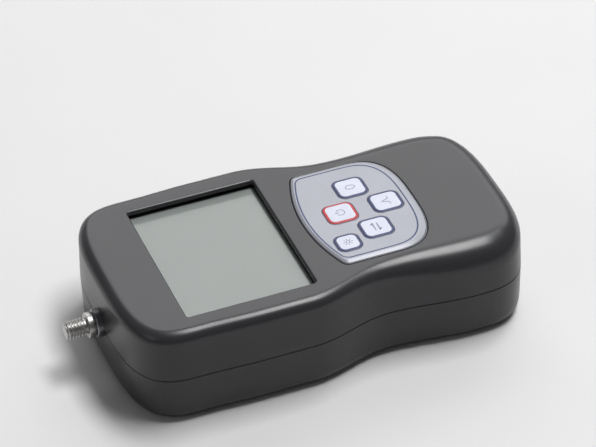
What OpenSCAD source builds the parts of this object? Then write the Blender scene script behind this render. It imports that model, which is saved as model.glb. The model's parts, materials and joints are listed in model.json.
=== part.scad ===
// Digital force gauge: the measuring shaft points along -X, the display looks along +Z.
// The origin is the centre of the stand holes, on the back face.

/* [Housing] */
// Length of the housing over its two end walls
body_l = 134.5; // [132:0.5:140]
// Greatest width of the housing, beside the display
display_w = 73.8; // [73:0.2:76]
// Width of the housing where its shaft end corners begin
shaft_end_w = 72.6; // [71.6:0.2:73.6]
// Width of the housing at its waist
waist_w = 62.4; // [61.4:0.2:65]
// Greatest width of the grip
grip_w = 68; // [67:0.5:71]
// Height of the front shell above the parting plane
front_h = 17; // [16.6:0.2:19]
// Height of the rear shell below the parting plane
rear_h = 17; // [16.6:0.2:19]
// Thickness of the shell walls
wall = 2.5; // [2.2:0.1:2.7]
// Draft of the side walls in degrees
draft_angle = 1.5; // [0.5:0.5:2]
// Edge radius of the face around the display
display_edge_r = 4; // [3.5:0.25:5]
// Edge radius of the face along the grip
grip_edge_r = 9; // [7:0.5:10]
// Edge radius of the face at the grip's end
grip_end_edge_r = 6.5; // [5:0.5:8]
// Edge radius of the back
back_edge_r = 5; // [3.5:0.25:5.5]

/* [Display] */
// Length of the window opening, along the housing
window_l = 42; // [40:0.5:43]
// Distance from the window opening to the side of the housing, where that is narrowest
window_side = 8.8; // [8.3:0.1:10]
// Distance from the shaft end wall to the window opening
window_inset = 19.5; // [19:0.25:20.5]
// Depth of the opening's edge, down to the window's seat
window_lip = 1.4; // [1:0.1:1.7]
// Overlap of the window under the opening's edge
window_overlap = 2; // [1.5:0.1:2.2]
// Thickness of the window
window_t = 1; // [0.8:0.1:1.2]
// Thickness of the adhesive tape
tape_t = 0.2; // [0.1:0.05:0.3]
// Margin of the display glass beyond the window opening
lcd_margin = 1.2; // [1:0.1:1.4]
// Thickness of the display glass
lcd_t = 2.2; // [1.8:0.1:2.4]
// Thickness of the backlight
backlight_t = 2.6; // [2.4:0.1:2.8]
// Thickness of the circuit boards
board_t = 1.6; // [1.2:0.1:1.8]

/* [Keypad] */
// Gap between the window opening and the keypad
pad_gap = 6.5; // [6:0.25:7.5]
// Length of the keypad panel, along the housing
pad_l = 37; // [36:0.5:38]
// Width of the keypad panel
pad_w = 47; // [46:0.5:49]
// Radius of the bulge of the panel's straight side
pad_bulge_r = 58; // [50:1:80]
// Radius of the panel's two small corners
pad_corner_r = 2.5; // [2:0.25:3]
// Height of the panel above the face
pad_rise = 0.7; // [0.5:0.1:1]
// Width of the panel's sloping rim
pad_rim = 1.4; // [1:0.1:1.8]
// Distance from the panel's bulged side to the left key
key_near = 7.45; // [7:0.05:8]
// Distance from the right key to the panel's rounded end
key_far = 4.25; // [4:0.05:5]
// Gap between the left and the right key
key_gap_l = 5.3; // [5:0.1:6]
// Width of a large key
key_w = 9.5; // [9:0.1:9.8]
// Length and width of the small key
small_key_l = 8; // [7:0.1:8.4]
// Corner radius of the keys
key_corner_r = 2.5; // [2:0.25:3]
// Height of the keys above the panel
key_rise = 0.35; // [0.2:0.05:0.6]
// Distance between the upper and the lower key
key_pitch_w = 21.6; // [21.2:0.1:22.4]
// Travel of a key
key_travel = 0.4; // [0.3:0.05:0.5]

/* [Measuring shaft] */
// Major diameter of the threaded stub
thread_d = 6; // [5:0.5:8]
// Length of the threaded stub
thread_l = 7; // [6:0.5:9]
// Diameter of the collar behind the stub
collar_d = 8.2; // [8:0.1:9]
// Thickness of the collar
collar_t = 2; // [1.5:0.25:2.5]
// Diameter of the guided shaft
shaft_d = 6; // [5.5:0.1:6.5]
// Radial clearance of the shaft in its bush
shaft_clearance = 0.05; // [0.02:0.01:0.09]
// Travel of the shaft to either side under full load
shaft_travel = 0.3; // [0.2:0.05:0.4]
// Outer diameter of the bush
bush_d = 9; // [8.6:0.1:10]
// Length of the bush outside the housing
neck_l = 2; // [1.5:0.25:3]

/* [Load cell] */
// Length of the load cell between its two threaded ends
cell_l = 32; // [30:0.5:33]
// Width of the load cell
cell_w = 25; // [23:0.5:27]
// Thickness of the load cell
cell_t = 11; // [10:0.25:12]
// Width of the two slots that make its S shape
cell_slot = 2; // [1.5:0.25:2.5]
// Thickness of the thin walls that carry the strain gauges
gauge_wall = 2.5; // [2:0.1:3]
// Thread of the screw that holds the load cell
cell_screw_d = 6; // [5:0.5:6]

/* [Stand and screws] */
// Spacing of the stand holes along the housing
stand_pitch_l = 80; // [76:1:82]
// Spacing of the stand holes across the housing
stand_pitch_w = 48; // [46:0.5:49]
// Diameter of the stand screws
stand_screw_d = 4; // [3:0.5:4]
// Length of the threaded inserts
insert_l = 6; // [5:0.5:8]
// Diameter of the housing screws
housing_screw_d = 3; // [2.5:0.25:3]
// Length of the housing screws under their heads
housing_screw_l = 16; // [14:0.5:18]
// Diameter of the circuit board screws
board_screw_d = 2.3; // [2:0.1:2.5]

/* [Power and sockets] */
// Room between the battery pack and the main board
battery_headroom = 3.85; // [3.2:0.05:4.8]
// Length of a battery cell
battery_l = 42.5; // [40:0.5:44]
// Inner diameter of the charging socket
charge_bore_d = 5.7; // [5.5:0.1:6]
// Diameter of the charging socket's centre pin
charge_pin_d = 2.1; // [1.9:0.1:2.5]
// Bore of the data socket
data_bore_d = 3.6; // [3.5:0.05:3.7]
// Distance between the two sockets
socket_pitch = 16; // [15:0.5:17]

/* [Hidden] */

$fn = 40;
// Overrun of every cut
cut = 1;
// Depth by which a boss is rooted in its wall
root = 0.6;
// Gap between pieces that stand beside each other
fit = 0.1;
// Gap between a screw and its own tapped hole
thread_fit = 0.03;
// Gap between a screw and a hole that it passes through
screw_gap = 0.2;

// Outline of the housing at the parting plane: places along the length, from the shaft end
shaft_corner_share = 0.1636;
widest_from_share = 0.312;
widest_to_share = 0.424;
waist_share = 0.6245;
grip_share = 0.84;
edge_grows_share = 0.5;
shaft_end_power = 3.4;
grip_end_power = 3;
corner_steps = 10;
flank_steps = 11;
edge_steps = 6;
inner_edge_steps = 3;

// Heights of the main planes
split_z = rear_h;
face_z = rear_h + front_h;
ceiling_z = face_z - wall;
floor_z = wall;
shaft_end_x = -body_l / 2;
grip_end_x = body_l / 2;

function at_share(share) = shaft_end_x + share * body_l;
function ease(t) = (1 - cos(180 * min(1, max(0, t)))) / 2;
function blend(a, b, t) = a + (b - a) * ease(t);
function progress(x, from, to) = (x - from) / (to - from);
function oval(a, power) = [pow(cos(a), 2 / power), pow(sin(a), 2 / power)];

corner_x = at_share(shaft_corner_share);
grip_x = at_share(grip_share);
waist_x = at_share(waist_share);
wide_from_x = at_share(widest_from_share);
wide_to_x = at_share(widest_to_share);
edge_grows_x = at_share(edge_grows_share);

function half_width(x) =
    x < wide_from_x ? blend(shaft_end_w, display_w, progress(x, corner_x, wide_from_x)) / 2
    : x < wide_to_x ? display_w / 2
    : x < waist_x ? blend(display_w, waist_w, progress(x, wide_to_x, waist_x)) / 2
    : blend(waist_w, grip_w, progress(x, waist_x, grip_x)) / 2;

// The far half of the outline, from the grip's end round to the shaft end
half_outline = concat(
    [for (i = [0 : corner_steps]) let (o = oval(90 * i / corner_steps, grip_end_power))
        [grip_x + (grip_end_x - grip_x) * o[0], grip_w / 2 * o[1]]],
    [for (i = [1 : flank_steps - 1]) let (x = grip_x + (corner_x - grip_x) * i / flank_steps)
        [x, half_width(x)]],
    [for (i = [corner_steps : -1 : 0]) let (o = oval(90 * i / corner_steps, shaft_end_power))
        [corner_x + (shaft_end_x - corner_x) * o[0], shaft_end_w / 2 * o[1]]]
);
half_count = len(half_outline);
outline = concat(
    half_outline,
    [for (i = [half_count - 2 : -1 : 1]) [half_outline[i][0], -half_outline[i][1]]]
);
outline_count = len(outline);

function unit(v) = v / norm(v);
function outward(i) =
    let (step = outline[(i + 1) % outline_count] - outline[(i + outline_count - 1) % outline_count])
    unit([step[1], -step[0]]);

// Edge radius of the face at one point of the outline
function face_edge_r(i) =
    let (x = outline[i][0], side = blend(display_edge_r, grip_edge_r, progress(x, edge_grows_x, grip_x)))
    x > grip_x ? blend(side, grip_end_edge_r, pow(outward(i)[0], 2)) : side;
function back_r(i) = back_edge_r;

// A ring of a shell: inset is the distance inside the parting plane's outline
function ring(insets, heights) =
    [for (i = [0 : outline_count - 1])
        let (p = outline[i] - insets[i] * outward(i)) [p[0], p[1], heights[i]]];

function level_ring(inset, z) =
    ring([for (i = [0 : outline_count - 1]) inset], [for (i = [0 : outline_count - 1]) z]);

// A ring on the rounded edge of a shell h high, thick inside its outer skin
function edge_ring(radii, h, thick, a) =
    ring(
        [for (r = radii) thick + (h - r) * tan(draft_angle) + (r - thick) * (1 - cos(a))],
        [for (r = radii) h - thick - (r - thick) * (1 - sin(a))]
    );

// Skin through rings that run anticlockwise about their order, closed by both end rings
module skin(rings) {
    n = len(rings[0]);
    m = len(rings);
    sides = [for (k = [0 : m - 2]) for (i = [0 : n - 1]) for (half = [0, 1])
        let (a = k * n + i, b = k * n + (i + 1) % n, c = b + n, d = a + n)
        half == 0 ? [a, d, c] : [a, c, b]];
    start = [for (i = [0 : n - 1]) i];
    end = [for (i = [n - 1 : -1 : 0]) (m - 1) * n + i];
    polyhedron([for (r = rings) for (p = r) p], concat([start], sides, [end]));
}

// Hollow half of the housing, open at z = 0 and closed at z = h
module shell(h, radii) {
    inner = [for (k = [inner_edge_steps : -1 : 0]) edge_ring(radii, h, wall, 90 * k / inner_edge_steps)];
    outer = [for (k = [0 : edge_steps]) edge_ring(radii, h, 0, 90 * k / edge_steps)];
    skin(concat(inner, [level_ring(wall, 0), level_ring(0, 0)], outer));
}

module rod(r, from, to) {
    translate([0, 0, from])
        cylinder(r = r, h = to - from);
}

// A rod along X
module bar(r, from, to, y = 0, z = split_z) {
    translate([from, y, z])
        rotate([0, 90, 0])
            cylinder(r = r, h = to - from);
}

module box(low, high) {
    translate(low)
        cube(high - low);
}

module rounded_plate(l, w, r, from, to) {
    translate([0, 0, from])
        linear_extrude(to - from) {
            square([l - 2 * r, w], center = true);
            square([l, w - 2 * r], center = true);
            for (x = [-1, 1], y = [-1, 1])
                translate([x * (l / 2 - r), y * (w / 2 - r)])
                    circle(r);
        }
}

// Places of the window and of what lies behind it
window_x = shaft_end_x + window_inset + window_l / 2;
window_w = min(shaft_end_w, display_w) - 2 * window_side;
window_top = face_z - window_lip - tape_t;
window_bottom = window_top - window_t;
bezel_lip_t = 0.4;
bezel_wall = 0.9;
bezel_grip = 1;
lcd_top = window_bottom - bezel_lip_t - fit;
lcd_bottom = lcd_top - lcd_t;
lcd_l = window_l + 2 * lcd_margin;
lcd_w = window_w + 2 * lcd_margin;
bezel_l = lcd_l + 2 * (fit + bezel_wall);
bezel_w = lcd_w + 2 * (fit + bezel_wall);
zebra_w = 2;
zebra_edge = 0.4;
zebra_short = 4;
backlight_w = lcd_w - 2 * (zebra_edge + zebra_w + fit);
board_top = lcd_bottom - backlight_t - fit;
board_bottom = board_top - board_t;
window_corner_r = 0.8;

// Places of the screws in the housing
housing_boss_r = 3.6;
housing_head_r = housing_screw_d;
housing_head_h = housing_screw_d;
head_gap = 0.15;
counterbore_h = 7;
shaft_boss_inset = 7.9;
shaft_boss_y = 20;
grip_boss_inset = 12.2;
grip_boss_y = 19;
housing_places = [for (y = [-1, 1]) each [
    [shaft_end_x + shaft_boss_inset, y * shaft_boss_y],
    [grip_end_x - grip_boss_inset, y * grip_boss_y]]];

// Places of the screws of the main board
board_boss_r = 2.5;
boss_gap = 0.4;
board_rim = 2.4;
board_boss_left = window_x - bezel_l / 2 - boss_gap - board_boss_r;
board_boss_mid = window_x + bezel_l / 2 + boss_gap + board_boss_r;
board_boss_left_y = window_w / 2 - 1.9;
board_boss_mid_y = window_w / 2 - 0.1;
board_boss_right_y = pad_w / 2 - 2;
board_boss_right_gap = 4.3;
board_boss_right = window_x + window_l / 2 + pad_gap + pad_l + board_boss_right_gap;
board_places = [for (y = [-1, 1]) each [
    [board_boss_left, y * board_boss_left_y],
    [board_boss_mid, y * board_boss_mid_y],
    [board_boss_right, y * board_boss_right_y]]];
board_hole_depth = 4;
board_screw_in = 3.4;
board_head_r = 2.1;
board_head_h = 1.4;
board_wide_w = bezel_w + 2 * boss_gap;
board_narrow_w = 2 * (board_boss_right_y + board_rim);

// Places of the stand holes
insert_wall = 0.8;
insert_boss_wall = 1.5;
insert_r = stand_screw_d / 2 + insert_wall;
insert_boss_r = insert_r + insert_boss_wall;
insert_floor = 1;
stand_places = [for (x = [-1, 1], y = [-1, 1]) [x * stand_pitch_l / 2, y * stand_pitch_w / 2]];

// The keypad: its place, its outline and its keys
pad_x = shaft_end_x + window_inset + window_l + pad_gap;
pad_round_l = 16;
pad_power = 3;
pad_steps = 10;
pad_fit = 0.25;
pad_flange = 1.1;
pad_flange_t = 1.2;
pad_top = face_z + pad_rise;
pad_rim_h = pad_rise - fit;
pad_bottom = ceiling_z - pad_flange_t;
bulge_x = pad_x + pad_bulge_r;
small_corner_y = pad_w / 2 - pad_corner_r;
small_corner_x = bulge_x - sqrt(pow(pad_bulge_r - pad_corner_r, 2) - pow(small_corner_y, 2));
round_x = pad_x + pad_l - pad_round_l;
bulge_angle = asin(small_corner_y / (pad_bulge_r - pad_corner_r));

// Outline of the panel, moved outwards by grow, anticlockwise from its far side
function pad_half(grow) = concat(
    [for (i = [0 : pad_steps]) let (o = oval(90 * i / pad_steps, pad_power))
        [round_x + (pad_round_l + grow) * o[0], (pad_w / 2 + grow) * o[1]]],
    [for (i = [0 : 4]) let (a = 90 + (90 - bulge_angle) * i / 4)
        [small_corner_x + (pad_corner_r + grow) * cos(a), small_corner_y + (pad_corner_r + grow) * sin(a)]],
    [for (i = [1 : 4]) let (a = 180 - bulge_angle * (1 - i / 4))
        [bulge_x + (pad_bulge_r + grow) * cos(a), (pad_bulge_r + grow) * sin(a)]]
);
function pad_outline(grow) =
    let (half = pad_half(grow), n = len(half))
    concat(half, [for (i = [n - 2 : -1 : 1]) [half[i][0], -half[i][1]]]);

key_l = (pad_l - key_near - key_far - key_gap_l) / 2;
key_pitch_l = key_l + key_gap_l;
key_x = pad_x + key_near + key_l + key_gap_l / 2;
small_key_gap = 1.9;
small_key_drop = 14.5;
small_key_x = key_x - (key_l + small_key_l) / 2 - small_key_gap;
// For each key: its place, its length and its width
key_table = [
    [[key_x - key_pitch_l / 2, 0], key_l, key_w],
    [[key_x, key_pitch_w / 2], key_l, key_w],
    [[key_x + key_pitch_l / 2, 0], key_l, key_w],
    [[key_x, -key_pitch_w / 2], key_l, key_w],
    [[small_key_x, -small_key_drop], small_key_l, small_key_l]
];
key_fit = 0.2;
key_skirt = 0.4;
key_skirt_t = 1;
key_stem_r = 1.6;
switch_l = 6;
switch_body_h = 1.6;
switch_h = 2.5;
plunger_r = 1.5;
plunger_room = 0.2;
switch_well = switch_h - key_travel - plunger_room;
plunger_fit = 0.08;
plunger_top = board_top + switch_h;
skirt_gap = 0.15;
skirt_top = pad_bottom - skirt_gap;
key_top = pad_top + key_rise;

// Places along the measuring shaft
stop_play = 0.05;
running_gap = shaft_travel + stop_play;
neck_x = shaft_end_x - neck_l;
collar_x = neck_x - shaft_travel - fit;
thread_x = collar_x - collar_t;
tip_x = thread_x - thread_l;
bush_flange_rim = 1.5;
bush_flange_r = bush_d / 2 + bush_flange_rim;
bush_flange_t = 1.5;
bush_flange_gap = 0.2;
bush_flange_x = shaft_end_x + wall + bush_flange_gap;
bush_end_x = bush_flange_x + bush_flange_t;
stop_plate = 2;
stop_disc_t = 2;
stop_disc_r = 7;
stop_stand_off = 0.4;
stop_gap = 0.4;
stop_rise = 5;
stop_x = bush_end_x + stop_stand_off;
stop_disc_x = stop_x + stop_plate + running_gap;
stop_far_x = stop_disc_x + stop_disc_t + running_gap;
stop_end_x = stop_far_x + stop_plate;
nut_x = stop_end_x + running_gap + fit;
nut_t = 3.2;
nut_r = 5.6;
cell_x = nut_x + nut_t;
cell_end_x = cell_x + cell_l;
shaft_thread_l = 8;
thread_chamfer = 0.6;
pad_seat = 2.5;
seat_z = floor_z + pad_seat;
stop_w = 19;
stop_top = split_z + stop_rise;
stop_foot_w = 30;
stop_foot_t = 3;
stop_screw_y = 12.2;
stop_screw_x = (stop_x + stop_end_x) / 2;
small_screw_d = 3;
small_screw_in = 3.6;
small_head_r = 2.6;
small_head_h = 1.8;

// The load cell and its bracket
cell_low = split_z - cell_t / 2;
cell_high = split_z + cell_t / 2;
slot_reach = 4;
slot_inset = 6.5;
slot_a_x = cell_x + slot_inset;
slot_b_x = cell_end_x - slot_inset - cell_slot;
hole_pitch = 11;
middle_x = (slot_a_x + cell_slot + slot_b_x) / 2;
hole_r = (slot_b_x - slot_a_x - cell_slot) / 2 - gauge_wall;
cell_bore_depth = 6;
gauge_l = 4;
gauge_h = 3;
gauge_t = 0.15;
bracket_post = 5;
bracket_foot_t = 3;
bracket_foot_l = 16;
bracket_w = 24;
bracket_end_x = cell_end_x + bracket_post;
bracket_screw_inset = 3.6;
bracket_screw_first = 4.8;
bracket_places = [for (x = [bracket_end_x + bracket_screw_first,
                            bracket_end_x + bracket_foot_l - bracket_screw_inset],
                       y = [-1, 1]) [x, y * (bracket_w / 2 - bracket_screw_inset)]];
cell_head_r = 4.6;
cell_head_h = 3.5;
cell_screw_in = 5.5;

// The sockets at the grip's end
socket_board_l = 12;
socket_board_w = 29;
socket_board_gap = 1.7;
socket_post_h = 2;
socket_board_z = floor_z + socket_post_h;
socket_board_top = socket_board_z + board_t;
socket_board_x = grip_end_x - wall - socket_board_gap;
socket_axis_h = 4.6;
socket_recess = 0.6;
socket_body_gap = 1;
socket_axis_z = socket_board_top + socket_axis_h;
socket_face_x = grip_end_x - socket_recess;
socket_body_x = grip_end_x - wall - socket_body_gap;
socket_body_l = 12;
charge_body_w = 9;
socket_neck_wall = 1.1;
charge_neck_r = charge_bore_d / 2 + socket_neck_wall;
charge_depth = 9.5;
charge_pin_short = 0.5;
data_body_w = 6.6;
data_neck_r = data_bore_d / 2 + socket_neck_wall;
data_depth = 13;
neck_fit = 0.2;
socket_screw_d = 2;
socket_screw_in = 3;
socket_head_r = 1.8;
socket_head_h = 1.2;
socket_post_r = 2.2;
socket_screw_inset = 2.4;
socket_places = [for (inset = [socket_screw_inset, socket_board_l - socket_screw_inset])
    [socket_board_x - inset, 0]];

// The battery pack
battery_gap = 0.1;
tab_t = 0.25;
tab_w = 5;
battery_room = 2.2;
battery_end_x = socket_board_x - socket_board_l - battery_room;
battery_x = battery_end_x - battery_l;
foam_t = 1;
sleeve_t = 0.25;
battery_low = floor_z + foam_t + sleeve_t + fit;
battery_columns = 3;
battery_rows = 2;
battery_d = (board_bottom - battery_headroom - battery_low - battery_gap) / battery_rows;
battery_pitch = battery_d + battery_gap;
sleeve_cover = 3;
battery_places = [for (k = [0 : battery_rows - 1], j = [0 : battery_columns - 1])
    [(j - (battery_columns - 1) / 2) * battery_pitch, battery_low + battery_d / 2 + k * battery_pitch]];
pack_w = battery_columns * battery_d + (battery_columns - 1) * battery_gap;
pack_h = battery_rows * battery_d + (battery_rows - 1) * battery_gap;
rib_t = 1.2;
rib_h = 6;
rib_fit = 0.3;

// Connectors under the main board: place, length, width
header_h = 2.6;
header_l = 8;
header_w = 4;
header_first_x = bracket_end_x + header_l;
cell_header = [header_first_x, -cell_w / 2 - header_w / 2 - fit];
battery_header = [header_first_x + header_l, header_w];
socket_header = [header_first_x + header_l, 4 * header_w];

module tapped(d, from, to) {
    rod(d / 2 + thread_fit, from, to);
}

module front_shell() {
    color("#55575c")
        difference() {
            union() {
                translate([0, 0, split_z])
                    shell(front_h, [for (i = [0 : outline_count - 1]) face_edge_r(i)]);
                for (p = board_places)
                    translate(p)
                        rod(board_boss_r, board_top, ceiling_z + root);
                for (p = housing_places)
                    translate(p)
                        rod(housing_boss_r, split_z, ceiling_z + root);
            }
            translate([window_x, 0, 0])
                rounded_plate(window_l, window_w, window_corner_r, ceiling_z - cut, face_z + cut);
            translate([window_x, 0, 0])
                rounded_plate(window_l + 2 * (window_overlap + fit), window_w + 2 * (window_overlap + fit),
                    window_corner_r, ceiling_z - cut, face_z - window_lip);
            translate([0, 0, ceiling_z - cut])
                linear_extrude(wall + 2 * cut)
                    polygon(pad_outline(pad_fit));
            for (p = board_places)
                translate(p)
                    tapped(board_screw_d, board_top - cut, board_top + board_hole_depth);
            for (p = housing_places)
                translate(p)
                    tapped(housing_screw_d, split_z - cut, counterbore_h + housing_screw_l + cut);
            bar(bush_d / 2 + fit, shaft_end_x - cut, shaft_end_x + wall + cut);
        }
}

module rear_shell() {
    pack_out = pack_w / 2 + sleeve_t + rib_fit;
    color("#4b4d51")
        difference() {
            union() {
                translate([0, 0, split_z])
                    mirror([0, 0, 1])
                        shell(rear_h, [for (i = [0 : outline_count - 1]) back_r(i)]);
                for (p = housing_places)
                    translate(p)
                        rod(housing_boss_r, floor_z - root, split_z);
                for (p = stand_places)
                    translate(p)
                        rod(insert_boss_r, floor_z - root, insert_l + insert_floor);
                for (p = socket_places)
                    translate(p)
                        rod(socket_post_r, floor_z - root, socket_board_z);
                box([stop_x, -stop_foot_w / 2, floor_z - root], [stop_end_x, stop_foot_w / 2, seat_z]);
                box([cell_end_x, -bracket_w / 2, floor_z - root],
                    [bracket_end_x + bracket_foot_l, bracket_w / 2, seat_z]);
                for (y = [-1, 1])
                    box([battery_x, y * (pack_out + rib_t / 2) - rib_t / 2, floor_z - root],
                        [battery_end_x, y * (pack_out + rib_t / 2) + rib_t / 2, floor_z + rib_h]);
            }
            for (p = housing_places)
                translate(p) {
                    rod(housing_screw_d / 2 + screw_gap, -cut, split_z + cut);
                    rod(housing_head_r + head_gap, -cut, counterbore_h);
                }
            for (p = stand_places)
                translate(p)
                    rod(insert_r + thread_fit, -cut, insert_l);
            for (y = [-1, 1])
                translate([stop_screw_x, y * stop_screw_y, 0])
                    tapped(small_screw_d, seat_z - small_screw_in - fit, seat_z + cut);
            for (p = bracket_places)
                translate(p)
                    tapped(small_screw_d, seat_z - small_screw_in - fit, seat_z + cut);
            for (p = socket_places)
                translate(p)
                    tapped(socket_screw_d, socket_board_z - socket_screw_in - fit, socket_board_z + cut);
            bar(bush_d / 2 + fit, shaft_end_x - cut, shaft_end_x + wall + cut);
            bar(charge_neck_r + neck_fit, socket_body_x - cut, grip_end_x + cut,
                -socket_pitch / 2, socket_axis_z);
            bar(data_neck_r + neck_fit, socket_body_x - cut, grip_end_x + cut,
                socket_pitch / 2, socket_axis_z);
        }
}

// Screw with a round head below and a cross recess, its shank running up from z = 0
module screw(d, l, head_r, head_h) {
    recess_w = d / 4;
    recess_l = d * 1.1;
    rod(d / 2, 0, l);
    difference() {
        rod(head_r, -head_h, 0);
        for (a = [0, 90])
            rotate([0, 0, a])
                box([-recess_l / 2, -recess_w / 2, -head_h - cut], [recess_l / 2, recess_w / 2, -head_h / 2]);
    }
}

module housing_screws() {
    color("#3a3a3c")
        for (p = housing_places)
            translate([p[0], p[1], counterbore_h])
                screw(housing_screw_d, housing_screw_l, housing_head_r, housing_head_h);
}

module stand_inserts() {
    groove = 0.35;
    color("#c8a24a")
        for (p = stand_places)
            translate(p)
                difference() {
                    rod(insert_r, 0, insert_l);
                    rod(stand_screw_d / 2, -cut, insert_l + cut);
                    translate([0, 0, insert_l / 2 - groove])
                        difference() {
                            cylinder(r = insert_r + cut, h = 2 * groove);
                            cylinder(r = insert_r - groove, h = 2 * groove);
                        }
                }
}

module display_window() {
    color("#a9adac", 0.6)
        translate([window_x, 0, 0])
            rounded_plate(window_l + 2 * window_overlap, window_w + 2 * window_overlap, window_corner_r,
                window_bottom, window_top);
}

module frame_plate(l, w, open_l, open_w, from, to) {
    difference() {
        rounded_plate(l, w, window_corner_r, from, to);
        rounded_plate(open_l, open_w, window_corner_r, from - cut, to + cut);
    }
}

module window_tape() {
    color("#1c1c1e")
        translate([window_x, 0, 0])
            frame_plate(window_l + 2 * window_overlap, window_w + 2 * window_overlap, window_l, window_w,
                window_top, window_top + tape_t);
}

module lcd_glass() {
    color("#a4a8a5")
        translate([window_x, 0, 0])
            rounded_plate(lcd_l, lcd_w, window_corner_r, lcd_bottom, lcd_top);
}

module lcd_bezel() {
    open_l = lcd_l - 2 * bezel_grip;
    open_w = lcd_w - 2 * bezel_grip;
    color("#2c2d30")
        translate([window_x, 0, 0]) {
            frame_plate(bezel_l, bezel_w, lcd_l + 2 * fit, lcd_w + 2 * fit, board_top, lcd_top);
            frame_plate(bezel_l, bezel_w, open_l, open_w, lcd_top, lcd_top + bezel_lip_t);
        }
}

module backlight_panel() {
    color("#e9ecdf")
        translate([window_x, 0, 0])
            rounded_plate(lcd_l - 2 * fit, backlight_w, window_corner_r / 2,
                lcd_bottom - backlight_t, lcd_bottom);
}

module zebra_strips() {
    strip_l = lcd_l - zebra_short;
    color("#202022")
        for (y = [-1, 1])
            translate([window_x, y * (lcd_w / 2 - zebra_edge - zebra_w / 2), (board_top + lcd_bottom) / 2])
                cube([strip_l, zebra_w, lcd_bottom - board_top], center = true);
}

module main_board() {
    wide_end = board_boss_mid + board_rim;
    color("#1e5a38")
        difference() {
            union() {
                box([board_boss_left - board_rim, -board_wide_w / 2, board_bottom],
                    [wide_end, board_wide_w / 2, board_top]);
                box([board_boss_mid, -board_narrow_w / 2, board_bottom],
                    [board_boss_right + board_rim, board_narrow_w / 2, board_top]);
            }
            for (p = board_places)
                translate(p)
                    rod(board_screw_d / 2 + fit, board_bottom - cut, board_top + cut);
            for (p = housing_places)
                translate(p)
                    rod(housing_boss_r + boss_gap, board_bottom - cut, board_top + cut);
        }
}

module board_screws() {
    color("#9a9ca0")
        for (p = board_places)
            translate([p[0], p[1], board_bottom])
                screw(board_screw_d, board_t + board_screw_in, board_head_r, board_head_h);
}

module chip(x, y, l, w, h) {
    box([x - l / 2, y - w / 2, board_bottom - h], [x + l / 2, y + w / 2, board_bottom]);
}

module board_chips() {
    processor_l = 12;
    processor_h = 1.4;
    converter_l = 10;
    converter_w = 7;
    converter_h = 2;
    crystal_l = 8;
    crystal_w = 3.4;
    color("#242426") {
        chip(key_x, 0, processor_l, processor_l, processor_h);
        chip(window_x, -cell_w / 2 - converter_w, converter_l, converter_w, converter_h);
        chip(key_x, processor_l, crystal_l, crystal_w, converter_h);
        translate([key_x + processor_l, -processor_l, board_bottom - header_h])
            cylinder(r = crystal_w, h = header_h);
    }
}

module board_connectors() {
    shell_t = 0.6;
    color("#e8e4d8")
        for (p = [cell_header, battery_header, socket_header])
            difference() {
                chip(p[0], p[1], header_l, header_w, header_h);
                box([p[0] - header_l / 2 + shell_t, p[1] - header_w / 2 + shell_t,
                     board_bottom - header_h - cut],
                    [p[0] + header_l / 2 - shell_t, p[1] + header_w / 2 - shell_t,
                     board_bottom - shell_t]);
            }
}

module keypad_panel() {
    body_top = pad_top - pad_rim_h;
    color("#c9cbd0")
        difference() {
            union() {
                translate([0, 0, pad_bottom])
                    linear_extrude(pad_flange_t)
                        polygon(pad_outline(pad_flange));
                translate([0, 0, pad_bottom])
                    linear_extrude(body_top - pad_bottom)
                        polygon(pad_outline(0));
                skin([
                    [for (p = pad_outline(0)) [p[0], p[1], body_top]],
                    [for (p = pad_outline(-pad_rim)) [p[0], p[1], pad_top]]
                ]);
            }
            for (k = key_table)
                translate(k[0])
                    rounded_plate(k[1] + 2 * key_fit, k[2] + 2 * key_fit, key_corner_r + key_fit,
                        pad_bottom - cut, pad_top + cut);
        }
}

// A key cap with a skirt under the panel and a stem that rests on its switch
module key(i) {
    k = key_table[i];
    translate(k[0]) {
        rounded_plate(k[1], k[2], key_corner_r, skirt_top - key_skirt_t, key_top);
        rounded_plate(k[1] + 2 * key_skirt, k[2] + 2 * key_skirt, key_corner_r + key_skirt,
            skirt_top - key_skirt_t, skirt_top);
        rod(key_stem_r, plunger_top, skirt_top);
    }
}

module key_power() {
    color("#f4f5fa")
        key(0);
}

module key_zero() {
    color("#f1f4fb")
        key(1);
}

module key_peak() {
    color("#f1f4fb")
        key(2);
}

module key_unit() {
    color("#f1f4fb")
        key(3);
}

module key_light() {
    color("#f1f4fb")
        key(4);
}

module plunger(i) {
    color("#2a2a2c")
        translate(key_table[i][0])
            rod(plunger_r, plunger_top - switch_well, plunger_top);
}

module plunger_power() {
    plunger(0);
}

module plunger_zero() {
    plunger(1);
}

module plunger_peak() {
    plunger(2);
}

module plunger_unit() {
    plunger(3);
}

module plunger_light() {
    plunger(4);
}

module key_switches() {
    color("#b9bbbe")
        for (k = key_table)
            translate(k[0])
                difference() {
                    box([-switch_l / 2, -switch_l / 2, board_top],
                        [switch_l / 2, switch_l / 2, board_top + switch_body_h]);
                    rod(plunger_r + plunger_fit, board_top + plunger_room / 2, board_top + switch_h);
                }
}

module measuring_shaft() {
    stub_r = thread_d / 2;
    color("#d8dadd") {
        translate([tip_x, 0, split_z])
            rotate([0, 90, 0])
                cylinder(r1 = stub_r - thread_chamfer, r2 = stub_r, h = thread_chamfer);
        bar(stub_r, tip_x + thread_chamfer, thread_x);
        bar(collar_d / 2, thread_x, collar_x);
        bar(shaft_d / 2, collar_x, cell_x + shaft_thread_l - fit);
        bar(stop_disc_r, stop_disc_x, stop_disc_x + stop_disc_t);
    }
}

module shaft_nut() {
    color("#c2c4c8")
        difference() {
            translate([nut_x, 0, split_z])
                rotate([0, 90, 0])
                    cylinder(r = nut_r, h = nut_t, $fn = 6);
            bar(shaft_d / 2 + thread_fit, nut_x - cut, cell_x + cut);
        }
}

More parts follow.
